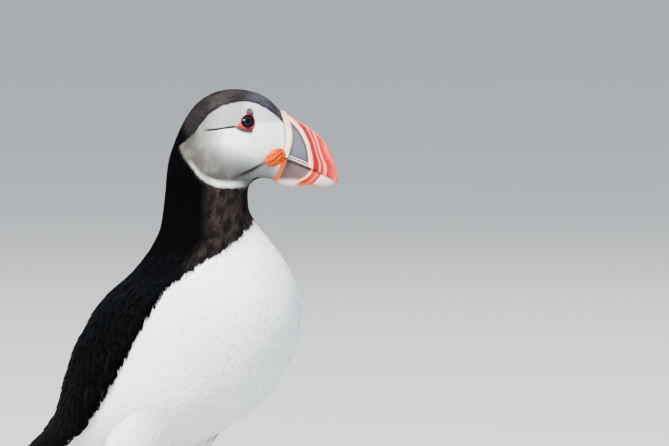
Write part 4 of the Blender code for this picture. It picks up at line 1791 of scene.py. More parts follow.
@dataclass
class Tail:
    """Sixteen short tail feathers in a low fan, with their coverts above and below."""

    finish: Material
    plumage: dict[Slot, Material]
    feathers: int = 16
    drop: float = 40.0
    length: float = 48.0
    root: Pair = (-100.6, 52.0)
    root_half: float = 8.0
    spread: float = 12.2
    steps: int = 12
    covert_rows: int = 5
    in_a_row: int = 15
    row_step: float = 3.6
    black: Colour = (0.0019, 0.0018, 0.0020)
    black_covert: Colour = (0.0016, 0.0018, 0.0022)
    white_covert: Colour = (0.80, 0.82, 0.82)
    seed: int = 600

    def build(self) -> None:
        """Makes the fan and its coverts."""
        drop = math.radians(self.drop)
        self.along = np.array([0.0, -math.cos(drop), -math.sin(drop)])
        self.above = np.array([0.0, -math.sin(drop), math.cos(drop)])
        self.base = np.array([0.0, *self.root])
        self.fan()
        self.coverts("tail_coverts_upper", Slot.BLACK, 1.0, self.black_covert, 17.0)
        self.coverts("tail_coverts_under", Slot.WHITE, -1.0, self.white_covert, 22.0)

    def coverts(self, name: str, slot: Slot, way: float, tint: Colour, reach: float) -> None:
        """Rows of soft feathers over the roots of the tail.

        Args:
            name: the piece's name.
            slot: its colour.
            way: 1 above the tail, -1 below it.
            tint: the feathers' colour.
            reach: how far the longest cover the tail, in mm.
        """
        rng = np.random.default_rng(self.seed + 10)
        rows, many, step = self.covert_rows, self.in_a_row, self.row_step
        t = np.linspace(0, 1, 6)
        row = np.repeat(np.arange(rows), many)
        share = np.tile(np.linspace(-1, 1, many), rows) + rng.normal(0, 0.03, rows * many)
        start = -13.0 + step * row + rng.normal(0, 0.5, rows * many)
        end = start + (reach + 13.0 - step * (rows - 1)) * (1 - 0.25 * share**2)
        away = start[:, None] + (end - start)[:, None] * t
        side = share[:, None]
        left = self.root_half * side + np.maximum(away, 0) * np.sin(np.radians(self.spread * side))
        high = np.interp(away, [-13, -4, 5, 24], [0.6, 2.5, 1.7, 0.5]) * (1 - 0.35 * side**2)
        high = high + 0.10 * (rows - row)[:, None] + rng.uniform(0, 0.15, len(row))[:, None]
        high = way * high + self._sag(side, away) - (0.5 if way < 0 else 0.0)
        centre, normal = self._placed(away, left, high, 35 * share, way)
        half = 1.9 * np.interp(t, [0, 0.3, 0.8, 0.95, 1], [0.5, 1.0, 1.0, 0.7, 0.2])
        tone = rng.uniform(0.9, 1.1, len(row))[:, None, None]
        # painted shade: each covert a little darker at its root, under the one above
        colour = np.clip(np.array(tint) * tone * np.linspace(0.9, 1.05, 6)[None, :, None], 0, 0.86)
        spot = np.stack([0.25 + 0.02 * share * way, np.full(len(row), 0.96)], -1)
        half = half * np.ones((len(row), 1))
        feathers = Feathers(centre, normal, half, colour, spot, across=5, camber=0.2, ridge=0.05)
        dress(feathers.build(name, self.plumage[slot]), slot)

    def _sag(self, share: Array, reach: Array) -> Array:
        """How high the fan's surface lies over its own plane."""
        t = np.clip((reach + 3.0) / (self.length + 3.0), 0, 1)
        return -1.5 * share**2 * (1 + t) + 0.9 * (1 - np.abs(share)) * (1 - 0.4 * t) + 0.15

    def _placed(
        self, away: Array, left: Array, high: Array, tilt: Array, way: float = 1.0
    ) -> tuple[Array, Array]:
        """Lays feathers out from places in the fan's own plane.

        Args:
            away: distances down the fan from its root.
            left: distances to the bird's left.
            high: heights over the fan's plane.
            tilt: how far each feather leans outwards, in degrees.
            way: 1 above the tail, -1 below it.

        Returns:
            Their centre lines and outward directions.
        """
        centre = self.base + away[..., None] * self.along + high[..., None] * self.above
        centre[..., 0] += left
        tilt = np.radians(tilt)[:, None, None]
        normal = np.cos(tilt) * self.above * way + np.sin(tilt) * np.array([1.0, 0, 0])
        return centre, np.broadcast_to(normal, centre.shape)

    def fan(self) -> None:
        """The tail feathers themselves, in place of the tail's solid."""
        rng = np.random.default_rng(self.seed)
        t = np.linspace(0, 1, self.steps)
        share = np.linspace(-1, 1, self.feathers)
        side = share[:, None]
        reach = -3.0 + (self.length + 3.0) * t * (1 - 0.10 * side**2)
        angle = np.radians(self.spread * side)
        left = self.root_half * side + reach * np.sin(angle)
        centre, normal = self._placed(reach * np.cos(angle), left, self._sag(side, reach), 9 * share)
        half = 3.5 * np.interp(t, [0, 0.25, 0.85, 0.96, 1], [0.55, 0.9, 1.0, 0.7, 0.2])
        tone = rng.uniform(0.8, 1.25, self.feathers)[:, None, None]
        paler = np.interp(t, [0, 0.9, 1], [1, 1.2, 2.0])[None, :, None]
        tint = np.array(self.black) * tone * paler
        spot = np.stack([0.25 + 0.02 * share, np.full(self.feathers, 0.98)], -1)
        half = half * np.ones((self.feathers, 1))
        sizes = {"across": 5, "camber": 0.10, "ridge": 0.14, "thickness": 0.4}
        feathers = Feathers(centre, normal, half, tint, spot, **sizes)
        dress(feathers.build("tail_feathers", self.finish), Slot.BLACK, "tail")


class FaceMap:
    """Finds the head's side under a place in the side view."""

    def __init__(self, surface: SkinSurface, bill_side: float = 9.0) -> None:
        """Readies the search; bill_side is the half width taken ahead of the head."""
        self.tree = surface.bare()
        self.bill_side = bill_side

    def at(self, ahead: float, up: float, side: Side) -> tuple[Array, Array]:
        """The unturned point and outward direction there.

        Args:
            ahead: forward place.
            up: height.
            side: which side.

        Returns:
            The point and the direction.
        """
        sign = side.value
        point, normal, _, _ = self.tree.ray_cast(Vector((sign * 60, ahead, up)), Vector((-sign, 0, 0)))
        if point is None:
            return np.array([sign * self.bill_side, ahead, up]), np.array([float(sign), 0.0, 0.0])
        if normal.x * sign < 0:
            normal = -normal
        return np.array(point), np.array(normal)

    def lay(self, side: Side, flat: Array, lift: Array) -> Array:
        """Turned points over the head's side.

        Args:
            side: which side.
            flat: (forward, up) places, with that pair last.
            lift: how far each stands off the skin, in mm.

        Returns:
            The points, in mm.
        """
        found = [self.at(ahead, up, side) for ahead, up in flat.reshape(-1, 2)]
        points, normals = (np.array([f[k] for f in found]).reshape(*flat.shape[:-1], 3) for k in (0, 1))
        for _ in range(4):
            for grid in (points, normals):
                grid[:] = (np.roll(grid, 1, 1) + 2 * grid + np.roll(grid, -1, 1)) / 4
                grid[1:-1] = (grid[:-2] + 2 * grid[1:-1] + grid[2:]) / 4
        points[..., 1:] = flat
        return turned(points + unit(normals) * lift[..., None])


@dataclass
class Eye:
    """One eye: the ball, its red lid ring, and the grey plates above and below it."""

    side: Side
    face: FaceMap
    materials: dict[str, Material]
    middle: Pair = (15.8, 223.6)
    shows: float = 1.5
    radius: float = 4.2
    opening: float = 3.0
    ring: ClassVar[tuple[Pair, ...]] = (
        (15.2, 227.8), (16.6, 227.6), (18.1, 227.0), (18.5, 226.3), (19.1, 225.0), (19.4, 223.4),
        (19.1, 221.6), (18.6, 220.2), (18.1, 219.2), (16.6, 219.0), (14.6, 219.4), (12.5, 220.2),
        (10.3, 221.2), (10.6, 221.7), (11.4, 222.5), (12.6, 224.7), (13.8, 226.1),
    )

    # a blunt upright wedge
    upper_plate: ClassVar[tuple[Pair, ...]] = (
        (15.1, 227.4), (16.5, 226.9), (18.2, 226.6), (18.3, 227.9), (17.8, 229.1), (17.0, 230.1),
        (16.1, 230.1), (15.3, 229.4), (15.0, 228.4),
    )
    # a long bar, bowed downwards
    lower_plate: ClassVar[tuple[Pair, ...]] = (
        (9.7, 221.1), (11.0, 220.9), (12.8, 220.2), (14.8, 219.5), (16.6, 219.1), (18.2, 219.3),
        (18.3, 218.6), (16.9, 218.2), (14.8, 218.35), (12.6, 219.0), (10.8, 219.9), (9.6, 220.7),
    )

    def build(self) -> None:
        """Makes the eye's pieces."""
        self.ball()
        self.lids()
        self.plate("upper", self.upper_plate, 0.9)
        self.plate("lower", self.lower_plate, 0.7)
        self.fold()

    def ball(self) -> None:
        """The wet ball, turned to look out of its opening, with a slight cornea."""
        point, normal = self.face.at(*self.middle, self.side)
        normal = unit(normal + np.array([0.0, 0.05, 0.0]))
        low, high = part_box(f"eye_{self.side.word}")
        solid = (np.array(low) + np.array(high)) / 2 / MM
        centre = turned(point - normal * (self.radius - self.shows))
        off = np.linalg.norm(to_world(centre) / MM - solid)
        log.info("eye_%s sits %.2f mm from its solid", self.side.word, off)
        axis = turned(point + normal) - turned(point)
        first = unit(np.cross(axis, [0, 0, 1.0]))
        second = np.cross(first, axis)
        angle = np.radians(np.linspace(1.0, 178, 48))
        turn = full_turn(48)
        reach = self.radius + 0.16 * bell(np.degrees(angle), 30)
        flat = np.cos(turn)[:, None] * first + np.sin(turn)[:, None] * second
        rings = centre + (reach * np.cos(angle))[:, None, None] * axis
        rings = rings + (reach * np.sin(angle))[:, None, None] * flat[None]
        piece = loft(f"eyeball_{self.side.word}", rings, self.materials["eye"])
        spot = np.concatenate([np.zeros(2), reach * np.sin(angle) + (angle > 1.5) * 9, np.full(2, 9.0)])
        put(piece, "ring", np.repeat(spot, len(turn)))
        dress(piece, Slot.EYE, f"eye_{self.side.word}")

    def _outer(self, turn: Array) -> Array:
        """The red patch's outline at directions round the eye, as distances from its middle.

        Args:
            turn: the directions, in radians.

        Returns:
            A distance for each, in mm.
        """
        corners = np.array(self.ring) - self.middle
        best = np.zeros(len(turn))
        for k, angle in enumerate(turn):
            way = np.array([math.cos(angle), math.sin(angle)])
            for a, b in zip(corners, np.roll(corners, -1, 0)):
                edge = b - a
                cross = way[0] * edge[1] - way[1] * edge[0]
                if abs(cross) < 1e-9:
                    continue
                reach = (a[0] * edge[1] - a[1] * edge[0]) / cross
                share = (a[0] * way[1] - a[1] * way[0]) / cross
                if reach > 0 and -1e-6 <= share <= 1 + 1e-6:
                    best[k] = max(best[k], reach)
        return np.maximum(best, self.opening + 0.35)

    def lids(self) -> None:
        """The red bare skin round the eye, with a raised inner lid."""
        turn = full_turn(96)
        outer = self._outer(turn)
        share = np.array([0.0, 0.0, 0.10, 0.25, 0.42, 0.60, 0.78, 0.92, 1.0, 1.04])
        narrow = np.array([-0.30, -0.08, 0, 0, 0, 0, 0, 0, 0, 0])
        lift = np.array([-0.6, 0.25, 0.72, 0.86, 0.72, 0.50, 0.48, 0.40, 0.15, -0.5])
        radius = self.opening + narrow[:, None] + (outer - self.opening)[None] * share[:, None]
        flat = np.stack([np.cos(turn) * radius, np.sin(turn) * radius], -1) + self.middle
        ripple = 0.05 * np.sin(turn * 23)[None] * eased((share - 0.3) / 0.4)[:, None]
        points = self.face.lay(self.side, flat, lift[:, None] + ripple)
        quads = tube_quads(*points.shape[:2])
        quads = quads if self.side is Side.LEFT else quads[:, ::-1]
        piece = mesh_object(f"eyelid_{self.side.word}", points, quads, self.materials["lid"])
        # painted shade: darkest at the inner edge that tucks in against the ball, and somewhat darker again
        # further out
        worn = np.interp(share, [0, 0.1, 0.22, 0.45, 0.6, 1], [1.0, 0.85, 0.0, 0.1, 0.35, 0.1])
        put(piece, "worn", np.repeat(worn, len(turn)))
        dress(piece, Slot.EYE_PLATE)

    def fold(self) -> None:
        """The dark fold of bare skin that runs back from the eye."""
        line = np.array(SkinSurface.furrow)
        t = np.linspace(0, 1, 60)
        spots = t * (len(line) - 1)
        middle = np.stack([np.interp(spots, range(len(line)), line[:, k]) for k in (0, 1)], -1)
        half = np.interp(t, [0, 0.1, 0.7, 1], [0.20, 0.25, 0.21, 0.06])
        across = np.array([-1.0, -0.9, 0.0, 0.9, 1.0, 0.0])
        flat = np.repeat(middle[:, None], 6, 1)
        flat[..., 1] += half[:, None] * across
        lift = np.array([-0.5, 0.02, 0.10, 0.02, -0.5, -0.6]) + np.zeros((60, 1))
        points = self.face.lay(self.side, flat, lift)
        piece = form_of(f"eye_fold_{self.side.word}", points, self.materials["fold"])
        put(piece, "worn", np.full(points[..., 0].size, 0.2))
        dress(piece, Slot.EYE_PLATE)

    def plate(self, where: str, outline: tuple[Pair, ...], thick: float) -> None:
        """A thin horny plate on the skin.

        Args:
            where: upper or lower.
            outline: its corners in the side view.
            thick: how far it stands out, in mm.
        """
        closed = np.array([*outline, outline[0]])
        run = np.concatenate([[0], np.cumsum(np.linalg.norm(np.diff(closed, axis=0), axis=1))])
        spots = np.linspace(0, run[-1], 48, endpoint=False)
        ring = np.stack([np.interp(spots, run, closed[:, k]) for k in (0, 1)], -1)
        for _ in range(2):
            ring = (np.roll(ring, 1, 0) + 2 * ring + np.roll(ring, -1, 0)) / 4
        share = np.array([1.0, 1.0, 0.94, 0.82, 0.6, 0.3, 0.0])
        lift = 0.25 + np.array([-0.8, 0.25, 0.6, 0.85, 0.95, 1.0, 1.02]) * thick
        flat = ring.mean(0) + (ring - ring.mean(0)) * share[:, None, None]
        points = self.face.lay(self.side, flat, np.repeat(lift[:, None], len(ring), 1))
        name = f"eye_plate_{where}_{self.side.word}"
        piece = form_of(f"horn_{name}", points, self.materials["plate"])
        # darker towards the plate's edge
        put(piece, "worn", np.repeat(np.interp(share, [0, 0.6, 0.85, 1], [0.0, 0.15, 0.6, 1.0]), len(ring)))
        dress(piece, Slot.EYE_PLATE, name)


@dataclass(frozen=True)
class BillLine:
    """One cross-section of a bill part: outer edge, mouth edge, half width there, and forward bow."""

    outer: Pair
    mouth: Pair
    half_width: float
    bow: float = 0.0


@dataclass
class Bill:
    """The bill: banded upper and lower halves, the cream cere behind them, and the gape's orange folds."""

    face: FaceMap
    upper: ClassVar[tuple[BillLine, ...]] = (
        BillLine((35.8, 226.7), (36.3, 204.9), 7.6, 2.9),
        BillLine((42.0, 222.8), (40.8, 203.1), 7.1, 2.3),
        BillLine((49.0, 218.0), (46.4, 200.5), 6.1, 1.6),
        BillLine((55.0, 211.6), (51.8, 197.8), 4.9, 0.8),
        BillLine((58.9, 204.0), (55.8, 195.6), 3.7, 0.2),
        BillLine((60.6, 197.6), (58.1, 194.2), 2.6),
        BillLine((60.9, 192.9), (59.8, 192.2), 1.3),
    )
    lower: ClassVar[tuple[BillLine, ...]] = (
        BillLine((34.6, 204.8), (29.2, 193.4), 7.4),
        BillLine((40.4, 202.7), (36.0, 190.9), 6.8),
        BillLine((46.2, 200.1), (44.4, 191.15), 5.7),
        BillLine((51.6, 197.4), (51.2, 191.05), 4.3),
        BillLine((55.6, 195.2), (55.8, 191.4), 3.0),
        BillLine((58.6, 193.2), (58.8, 192.0), 1.3),
    )
    cere_lines: ClassVar[tuple[BillLine, ...]] = (
        BillLine((32.9, 228.2), (33.9, 205.8), 8.9, 1.45),
        BillLine((34.3, 227.6), (35.0, 205.7), 9.0, 2.1),
        BillLine((35.4, 226.9), (35.8, 205.5), 8.3, 2.5),
    )
    upper_centre: Pair = (20.2, 203.7)
    upper_grooves: tuple[float, ...] = (28.75, 31.15, 33.2, 35.6)
    lower_centre: Pair = (35.9, 206.9)
    lower_grooves: tuple[float, ...] = (17.4, 19.4)
    lower_rear: tuple[Pair, Pair] = ((28.9, 193.2), (34.6, 205.5))
    plate_ends: float = 26.0
    rear_centre: Pair = (20.5, 216.0)
    rear_arc: float = 17.35
    rosette_middle: Pair = (29.5, 205.7)
    rosette_reach: Pair = (5.6, 4.0)
    rosette_tilt: float = 35.0

    def build(self) -> None:
        """Makes every part of the bill."""
        self.upper_half()
        self.lower_half()
        self.cere()
        for side in Side:
            self.rosette(side)

    @staticmethod
    def _blade(lines: Sequence[BillLine], rows: int, ridge: float, back: float) -> tuple[Array, Array]:
        """Rings of a tall narrow form whose sides close on a rounded ridge.

        Args:
            lines: its cross-sections.
            rows: rings from base to tip.
            ridge: how much narrower the ridge is than the mouth.
            back: how far it starts behind its first cross-section, in cross-sections.

        Returns:
            The unturned rings, and each point's height as a share of the ring's.
        """
        curve = Curve([(*b.outer, *b.mouth, b.half_width, b.bow) for b in lines])
        row = curve.at(np.linspace(-back, len(lines) - 1, rows))[:, None, :]
        share = 1 - (1 - np.linspace(0, 1, 60)) ** 1.25
        swell = (1 - share**2.6) ** 0.5 * (1 - ridge * share)
        side = row[..., 2:4] + (row[..., 0:2] - row[..., 2:4]) * share[None, :, None]
        ahead = side[..., 0] + row[..., 5] * 4 * share * (1 - share)
        left = np.stack([row[..., 4] * swell, ahead, side[..., 1]], -1)
        ring = np.concatenate([left, left[:, -2::-1] * (-1, 1, 1)], axis=1)
        return ring, np.broadcast_to(np.concatenate([share, share[-2::-1]]), ring.shape[:2])

    @staticmethod
    def _groove(away: Array, grooves: Iterable[float], wide: float) -> Array:
        """How deep the grooves are, from 0 to 1, at distances from their centre."""
        return sum(bell(away - g, wide) for g in grooves)

    @staticmethod
    def _finish_half(name: str, rings: Array, material: Material, **masks: Array) -> Piece:
        """Lofts a part of the bill and stores what its finish reads.

        Args:
            name: its name.
            rings: its unturned rings.
            material: its finish.
            masks: what the finish reads, by name.

        Returns:
            The piece.
        """
        piece = loft(name, turned(rings), material)
        for key, mask in masks.items():
            put(piece, key, end_values(np.broadcast_to(mask, rings.shape[:2])).ravel())
        return piece

    def upper_half(self) -> None:
        """The upper half: slate plate, pale edge, then red horn with grooves curving down to the mouth."""
        rings, share = self._blade(self.upper, 170, 0.55, 0.3)
        ahead, up = rings[..., 1].copy(), rings[..., 2].copy()
        away, rise = self._around_centre(self.upper_centre, ahead, up)
        high = eased((rise + 8) / 20)
        band = away + 0.7 * high * eased((away - 26.2) / 1.2)
        band = band - 0.38 * (1 - high) * np.maximum(0, band - 28.4)
        above = (up - up[:, :1]) * (1 + 0.5 * eased((37.0 - ahead) / 1.5))
        fade = eased(share * 9) * eased((1 - share) * 7)
        raised = 0.32 * eased((away - self.plate_ends) / 0.8) - 0.28 * bell(away - 25.6, 0.45)
        lump = 0.25 * (lattice_noise(rings, 5.0, 21) - 0.5)
        depth = 0.30 * self._groove(band, self.upper_grooves, 0.40) * fade
        line = bell(above - 1.25, 0.25) * eased((45.9 - ahead) / 1.2)
        between = eased((1.0 - above) / 0.2) * eased((above - 0.4) / 0.2) * eased((45.5 - ahead) / 3.5)
        relief = raised * fade + lump * fade - depth + 0.16 * line - 0.22 * between
        rings[..., 0] += np.sign(rings[..., 0]) * relief
        crown = rings.shape[1] // 2
        length = np.hypot(ahead[:, crown] - ahead[:, 0], up[:, crown] - up[:, 0])[:, None]
        # painted shadow along the cere's front edge
        rear, _ = self._around_centre(self.rear_centre, ahead, up)
        rear = bell(rear - self.rear_arc, 1.1) * (away < 25.9)
        # the plate darker towards the mouth
        dusk = 0.45 * eased((208.5 - up) / 6) * eased((25.6 - away) / 0.6)
        top = eased((up - 223.6) / 0.8) * eased((ahead - 36.2) / 0.8)
        piece = self._finish_half(
            "bill_upper_horn",
            rings,
            self._upper_finish().make(),
            band=band,
            edge=0.8 * top * (away < 26.6),
            rim=0.9 * eased((1.15 - (1 - share) * length) / 0.8) * eased((ahead - 37.5) / 3),
            mouth=np.maximum(0.5 * rear, dusk),
            height=above,
            # where the painted highlight and shadow lines along the mouth lie
            striped=eased((46.1 - ahead) / 0.9),
            blush=eased((away - 34.0) / 2.0),
        )
        dress(piece, Slot.BILL_RED, "bill_upper")

    @staticmethod
    def _around_centre(centre: Pair, ahead: Array, up: Array) -> tuple[Array, Array]:
        """Distances from the bands' centre, and the directions from it in degrees above level."""
        ahead, up = ahead - centre[0], up - centre[1]
        return np.hypot(ahead, up), np.degrees(np.arctan2(up, ahead))

    @staticmethod
    def _upper_finish() -> BandedHornFinish:
        """The upper half's colours: slate, a pale edge, then reds with two pale grooves, and painted
        highlight and shadow lines along the mouth.

        Returns:
            The finish.
        """
        red, bright, pale = (0.21, 0.002, 0.004), (0.50, 0.003, 0.007), (0.90, 0.25, 0.20)
        return BandedHornFinish(
            name="upper_bill_horn",
            reach=(8.0, 46.0),
            bands=(
                (8.0, (0.060, 0.058, 0.070)), (17.0, (0.080, 0.084, 0.100)),
                (24.2, (0.095, 0.096, 0.112)), (25.4, (0.035, 0.028, 0.036)),
                (25.9, (0.50, 0.27, 0.26)), (26.4, (0.88, 0.53, 0.48)), (27.6, (0.90, 0.48, 0.40)),
                (28.2, (0.88, 0.36, 0.28)), (28.5, red), (29.9, red), (30.25, (0.50, 0.020, 0.018)),
                (30.5, pale), (30.7, pale), (31.0, red), (31.7, bright), (32.1, (0.86, 0.23, 0.20)),
                (32.5, (0.86, 0.21, 0.18)), (32.9, (0.32, 0.003, 0.006)), (34.2, bright),
                (34.9, (0.78, 0.045, 0.040)), (35.6, (0.82, 0.10, 0.085)), (36.6, (0.60, 0.003, 0.007)),
                (46.0, (0.72, 0.004, 0.008)),
            ),
            edge=(0.84, 0.64, 0.62),
            rim=(0.80, 0.105, 0.030),
            mouth=(0.030, 0.017, 0.022),
            painted_mouth_lines=(
                (0.0, (0.74, 0.60, 0.58)), (0.30, (0.84, 0.70, 0.68)), (0.44, (0.16, 0.11, 0.11)),
                (0.56, (0.040, 0.024, 0.030)), (0.76, (0.10, 0.065, 0.070)),
                (0.96, (0.035, 0.020, 0.026)), (1.12, (0.56, 0.44, 0.45)), (1.28, (0.80, 0.68, 0.67)),
                (1.44, (0.56, 0.44, 0.45)), (1.58, (0.026, 0.017, 0.022)),
                (2.10, (0.050, 0.040, 0.052)),
            ),
        )

    def lower_half(self) -> None:
        """The lower half: mauve base with a fleshy orange rear edge, two red bands and a cream tip."""
        curve = Curve([(*b.outer, *b.mouth, b.half_width) for b in self.lower])
        row = curve.at(np.linspace(-0.16, len(self.lower) - 1, 140))[:, None, :]
        angle = np.arange(88) * 2 * math.pi / 88
        share = (1 + np.sin(angle)) / 2
        squared = np.abs(np.cos(angle)) ** np.where(np.sin(angle) > 0, 0.3, 0.6) * np.sign(np.cos(angle))
        flat = row[..., 2:4] + (row[..., 0:2] - row[..., 2:4]) * (share**0.8)[None, :, None]
        width = row[..., 4] * squared * (0.55 + 0.45 * share)
        rings = np.stack([width, flat[..., 0], flat[..., 1]], -1)
        ahead, up = rings[..., 1].copy(), rings[..., 2].copy()
        away, _ = self._around_centre(self.lower_centre, ahead, up)
        away = np.minimum(away, 14.5 + np.log1p(np.exp((ahead - 39.5) * 1.5)) * 1.2)
        rear_low, rear_high = self.lower_rear
        base = line_distance(ahead, up, (rear_high, rear_low))
        behind = ahead < np.interp(up, [rear_low[1], rear_high[1]], [rear_low[0], rear_high[0]])
        base = np.where(behind, 0.0, base)
        strip = eased((1.7 - base) / 0.4)
        side = np.abs(rings[..., 0])
        change = 0.20 * eased((away - 14.2) / 0.7) - 0.28 * self._groove(away, self.lower_grooves, 0.35)
        swell = 0.85 * bell(base, 1.3) + 0.10 * np.sin(up * 5.0) * strip
        rings[..., 0] += np.sign(rings[..., 0]) * (change * eased(side) * eased(side) + swell * eased(side))
        rings[..., 2] += (0.38 + 0.30 * eased((ahead - 42) / 5)) * eased((share - 0.6) / 0.4)
        keel = eased((0.14 - share) / 0.12) * eased((ahead - 38.5) / 3) * eased((53 - ahead) / 3)
        piece = self._finish_half(
            "bill_lower_horn",
            rings,
            self._lower_finish().make(),
            band=away,
            edge=eased((195.4 - up) / 2.2) * eased((42.5 - ahead) / 4) * 0.75,
            rim=np.maximum(strip, 0.85 * keel),
            mouth=0.0,
            height=row[..., 1] - up,
            # where the painted highlight and shadow lines along the mouth lie
            striped=eased((48.5 - ahead) / 2.5) * (share > 0.5) * (1 - strip),
            blush=eased((away - 18.0) / 2) * 0.3,
        )
        dress(piece, Slot.BILL_GREY, "bill_lower")

    @staticmethod
    def _lower_finish() -> BandedHornFinish:
        """The lower half's colours: mauve, a pale edge, two reds and a cream tip, and a painted highlight
        and shadow along the mouth.

        Returns:
            The finish.
        """
        return BandedHornFinish(
            name="lower_bill_horn",
            reach=(0.0, 26.0),
            bands=(
                (0.0, (0.060, 0.036, 0.038)), (6.0, (0.090, 0.058, 0.056)),
                (11.0, (0.120, 0.070, 0.062)), (13.4, (0.150, 0.086, 0.074)),
                (14.0, (0.66, 0.42, 0.36)), (14.7, (0.84, 0.42, 0.24)), (15.1, (0.40, 0.012, 0.006)),
                (16.9, (0.55, 0.020, 0.008)), (17.3, (0.82, 0.30, 0.15)), (17.8, (0.58, 0.022, 0.014)),
                (19.0, (0.52, 0.016, 0.014)), (19.5, (0.84, 0.42, 0.36)), (20.2, (0.92, 0.68, 0.65)),
                (26.0, (0.92, 0.66, 0.60)),
            ),
            edge=(0.88, 0.70, 0.66),
            rim=(0.78, 0.125, 0.003),
            mouth=(0.030, 0.017, 0.022),
            painted_mouth_lines=(
                (0.0, (0.42, 0.30, 0.29)), (0.25, (0.50, 0.37, 0.35)), (0.45, (0.16, 0.105, 0.10)),
                (0.60, (0.060, 0.038, 0.039)), (0.90, (0.045, 0.027, 0.029)),
                (1.70, (0.070, 0.044, 0.045)),
            ),
        )

    def cere(self) -> None:
        """The raised cream ridge where the bill meets the feathers, with fine pits."""
        rings, share = self._blade(self.cere_lines, 28, 0.62, 0.55)
        u = np.linspace(0, 1, 28)[:, None]
        swell = 0.62 * np.sin(math.pi * u) ** 0.6 - 0.30 * bell(u - 0.46, 0.07)
        out = unit((rings - rings.mean(1, keepdims=True)) * (1, 0.25, 0.8))
        rings = rings + out * (swell * (0.35 + 0.65 * eased(share * 4)))[..., None]
        tones = (0.82, 0.70, 0.55), (0.60, 0.31, 0.17), (0.86, 0.77, 0.66)
        finish = BareSkinFinish("cere_skin", *tones, 0.45, grain=1700.0, depth=0.00016, coat=0.08)
        # tan towards the rear and the top, and in a band along the middle groove
        tan = eased((share - 0.60) / 0.35) * 0.65 + 0.55 * bell(u - 0.44, 0.08)
        tan = np.maximum(tan, 0.75 * eased((0.34 - u) / 0.16))
        dress(self._finish_half("cere_ridge", rings, finish.make(), worn=tan), Slot.CERE, "cere")

    def rosette(self, side: Side) -> None:
        """The fleshy orange fold at a corner of the mouth.

        Args:
            side: which corner.
        """
        tilt = math.radians(self.rosette_tilt)
        turn = full_turn(80)
        share = np.linspace(1.0, 0.0, 28)[:, None]
        long, short = self.rosette_reach
        x, y = long * np.cos(turn) * share, short * np.sin(turn) * share
        ahead, up = x * math.cos(tilt) - y * math.sin(tilt), x * math.sin(tilt) + y * math.cos(tilt)
        flat = np.stack([self.rosette_middle[0] + ahead, self.rosette_middle[1] + up], -1)
        dome = 0.25 + 1.75 * np.sqrt(np.maximum(0, 1 - share**2.2)) * np.ones_like(turn)
        folds = 0.55 * bell(y - 0.25 * np.sin(x), 0.42) * eased((5.0 - np.abs(x)) / 2)
        folds = folds + 0.28 * bell(y - 1.9 + 0.12 * x, 0.38) + 0.22 * bell(y + 1.9, 0.4)
        wrinkle = 0.10 * np.sin(turn * 17 + 3 * share) * share
        lift = dome - folds + wrinkle
        lift[0] = -0.9
        points = self.face.lay(side, flat, lift)
        tones = (0.60, 0.066, 0.0), (0.28, 0.020, 0.0), (0.66, 0.105, 0.0)
        finish = BareSkinFinish(f"gape_skin_{side.word}", *tones, 0.6, grain=1100.0, gloss=0.05)
        piece = form_of(f"gape_fold_{side.word}", points, finish.make())
        # painted shade in the folds
        put(piece, "worn", np.clip(folds * 1.3, 0, 0.8).ravel())
        dress(piece, Slot.GAPE, f"gape_rosette_{side.word}")


@dataclass(frozen=True)
class Toe:
    """A toe: degrees outwards, length, radius at both ends, and its joints as shares of the length."""

    name: str
    angle: float
    length: float
    root_radius: float
    tip_radius: float
    joints: tuple[float, ...]


